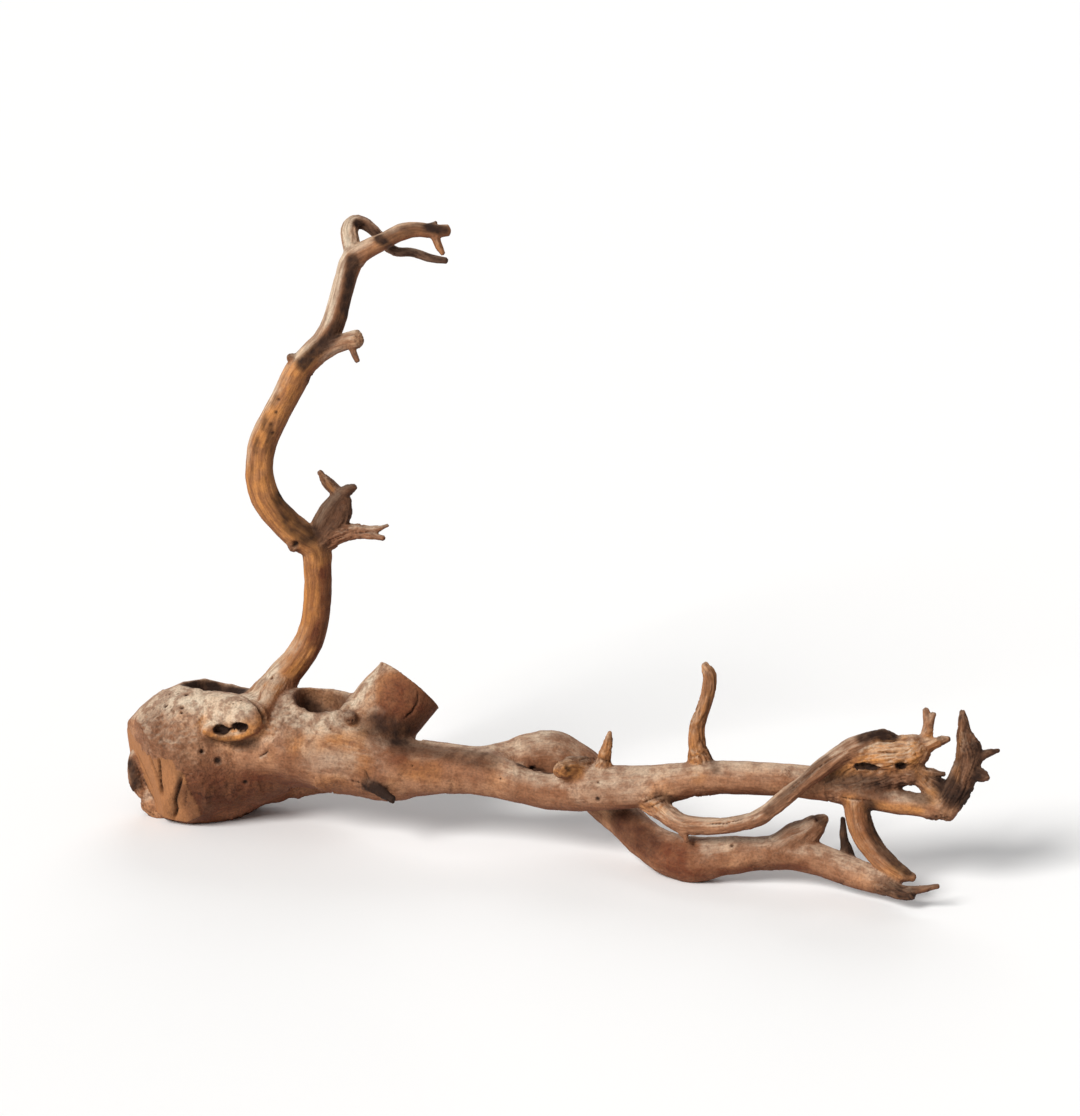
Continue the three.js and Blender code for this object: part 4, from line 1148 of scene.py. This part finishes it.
def wood_material():
    """Dry bogwood: brown wood, coloured further by its points' looks, painted light and shade among them.
    """
    s = Shader("dry_bogwood")
    place = s.node("ShaderNodeTexCoord").outputs["Object"]
    grain = s.node("ShaderNodeAttribute", attribute_name="grain").outputs["Vector"]
    pure = s.value("pure")
    # Where one limb leads, streaks and fibres run along it. Elsewhere they have no direction.
    long_grain = s.scaled(grain, (0.1, 1.0, 1.0))
    streak = s.mix(pure, s.grey(s.noise(place, 160, 3)), s.grey(s.noise(long_grain, 0.35, 3, 0.6)))
    fibre = s.mix(pure, s.grey(s.noise(place, 700, 2)), s.grey(s.noise(long_grain, 1.1, 3, 0.65)))
    cloud = s.noise(place, 28, 3, 0.55)
    blotch = s.noise(place, 90, 4, 0.6)
    speck = s.noise(place, 620, 4, 0.7)

    colour = s.mix(s.ramp(cloud, 0.35, 0.65, 0.35, 1.0), BROWN, TAN)
    warm = s.math("ADD", s.value("warm"), s.ramp(cloud, 0.5, 0.7, 0.0, 0.3))
    colour = s.mix(s.math("MULTIPLY", warm, s.ramp(blotch, 0.3, 0.6, 0.4, 1.0)), colour, ORANGE)
    # The red look is red-brown wood, and also painted shade on the undersides and shaded sides.
    red = s.math("MULTIPLY", s.value("red"), s.ramp(blotch, 0.3, 0.6, 0.7, 1.0))
    colour = s.mix(red, colour, RED_BROWN)
    # The grey look is dust and bleached wood, and also painted highlights on the lit sides.
    colour = s.mix(s.math("MULTIPLY", s.value("grey"), s.ramp(blotch, 0.3, 0.65, 1.0, 0.7)), colour, DUST_AND_HIGHLIGHT)
    colour = s.mix(s.ramp(streak, 0.38, 0.56, 0.6, 0.0), colour, BROWN)
    fine = s.math("MULTIPLY", s.ramp(fibre, 0.3, 0.62, 0.68, 1.04), s.ramp(speck, 0.32, 0.6, 0.86, 1.04))
    colour = s.mix(1.0, colour, s.grey(fine), "MULTIPLY")

    # The bare wood of the cuts has fine lines, and the saw cut has growth rings too.
    lines = s.ramp(s.noise(s.scaled(place, (900.0, 900.0, 90.0)), 1.0, 2), 0.3, 0.6, 0.8, 1.0)
    pith = tuple(seen(SAW_CUT[0]) * MM)
    offset = s.node("ShaderNodeVectorMath", {0: place, 1: pith}, operation="SUBTRACT").outputs[0]
    distance = s.node("ShaderNodeVectorMath", {0: offset}, operation="LENGTH").outputs["Value"]
    wander = s.math("MULTIPLY", s.noise(place, 110, 2), 0.004)
    phase = s.math("MULTIPLY", s.math("ADD", distance, wander), 2 * math.pi / RING_STEP)
    rings = s.ramp(s.math("SINE", phase), -0.2, 1.0, 1.0, 0.72)
    lines = s.math("MULTIPLY", lines, s.ramp(distance, *RINGS_FADE, rings, 1.0))
    cut = s.mix(1.0, CUT, s.grey(lines), "MULTIPLY")
    colour = s.mix(s.value("raw"), colour, cut)
    # The dark look is dark wood, and also painted shade in holes, cracks, hollows, pits, grooves and
    # crotches.
    dark = s.math("MULTIPLY", s.value("dark"), s.ramp(blotch, 0.2, 0.6, 0.8, 1.1))
    colour = s.mix(dark, colour, DARK)

    relief = s.math("ADD", s.math("MULTIPLY", fibre, 0.6), s.math("MULTIPLY", speck, 0.5))
    bump = s.node("ShaderNodeBump", {"Height": relief, "Strength": 1.0, "Distance": 0.0009})
    return s.surface({
        "Base Color": colour,
        "Roughness": s.ramp(speck, 0.3, 0.7, 0.72, 0.9),
        "Specular IOR Level": 0.25,
        "Normal": bump.outputs[0],
    })


def plain_material(name, colour):
    return Shader(name).surface({"Base Color": (*linear(colour), 1), "Roughness": 0.9})


def add_floor():
    mesh = bpy.data.meshes.new("floor")
    corners = ((-1, -1), (1, -1), (1, 1), (-1, 1))
    mesh.from_pydata([(FLOOR_HALF * x, FLOOR_HALF * y, 0) for x, y in corners], [], [(0, 1, 2, 3)])
    floor = add_object("floor", mesh)
    mesh.materials.append(plain_material("pale_floor", FLOOR))


def add_sun(name, towards, width, strength, colour):
    """A soft light that is as strong everywhere, from the side that it lies towards."""
    data = bpy.data.lights.new(name, "SUN")
    data.angle, data.energy, data.color = math.radians(width), strength, colour
    light = add_object(name, data)
    light.rotation_mode = "QUATERNION"
    light.rotation_quaternion = Vector(towards).to_track_quat("Z", "Y")


def add_lights():
    for name, settings in SUNS.items():
        add_sun(name, *settings)
    world = bpy.data.worlds.new("studio")
    world.use_nodes = True
    background = world.node_tree.nodes["Background"].inputs
    background["Color"].default_value = (1, 1, 1, 1)
    background["Strength"].default_value = WORLD_LIGHT
    bpy.context.scene.world = world


def add_camera():
    data = bpy.data.cameras.new("camera")
    data.sensor_fit = "VERTICAL"
    data.sensor_width = data.sensor_height = SENSOR
    data.lens = SENSOR * VIEW_DISTANCE / VIEW_HEIGHT
    camera = add_object("camera", data)
    middle = seen(VIEW_CENTRE + CAMERA_NUDGE)
    camera.location = (middle - VIEW_DISTANCE * turned((0, 0, 1))) * MM
    camera.rotation_euler = (math.pi / 2 - VIEW_TILT, 0, 0)
    bpy.context.scene.camera = camera


add_camera()
add_floor()
add_lights()
bpy.context.scene.view_settings.view_transform = "Standard"

root = wood_piece()
root.data.materials.clear()
root.data.materials.append(wood_material())
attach(root, "root")
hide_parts(NODE)
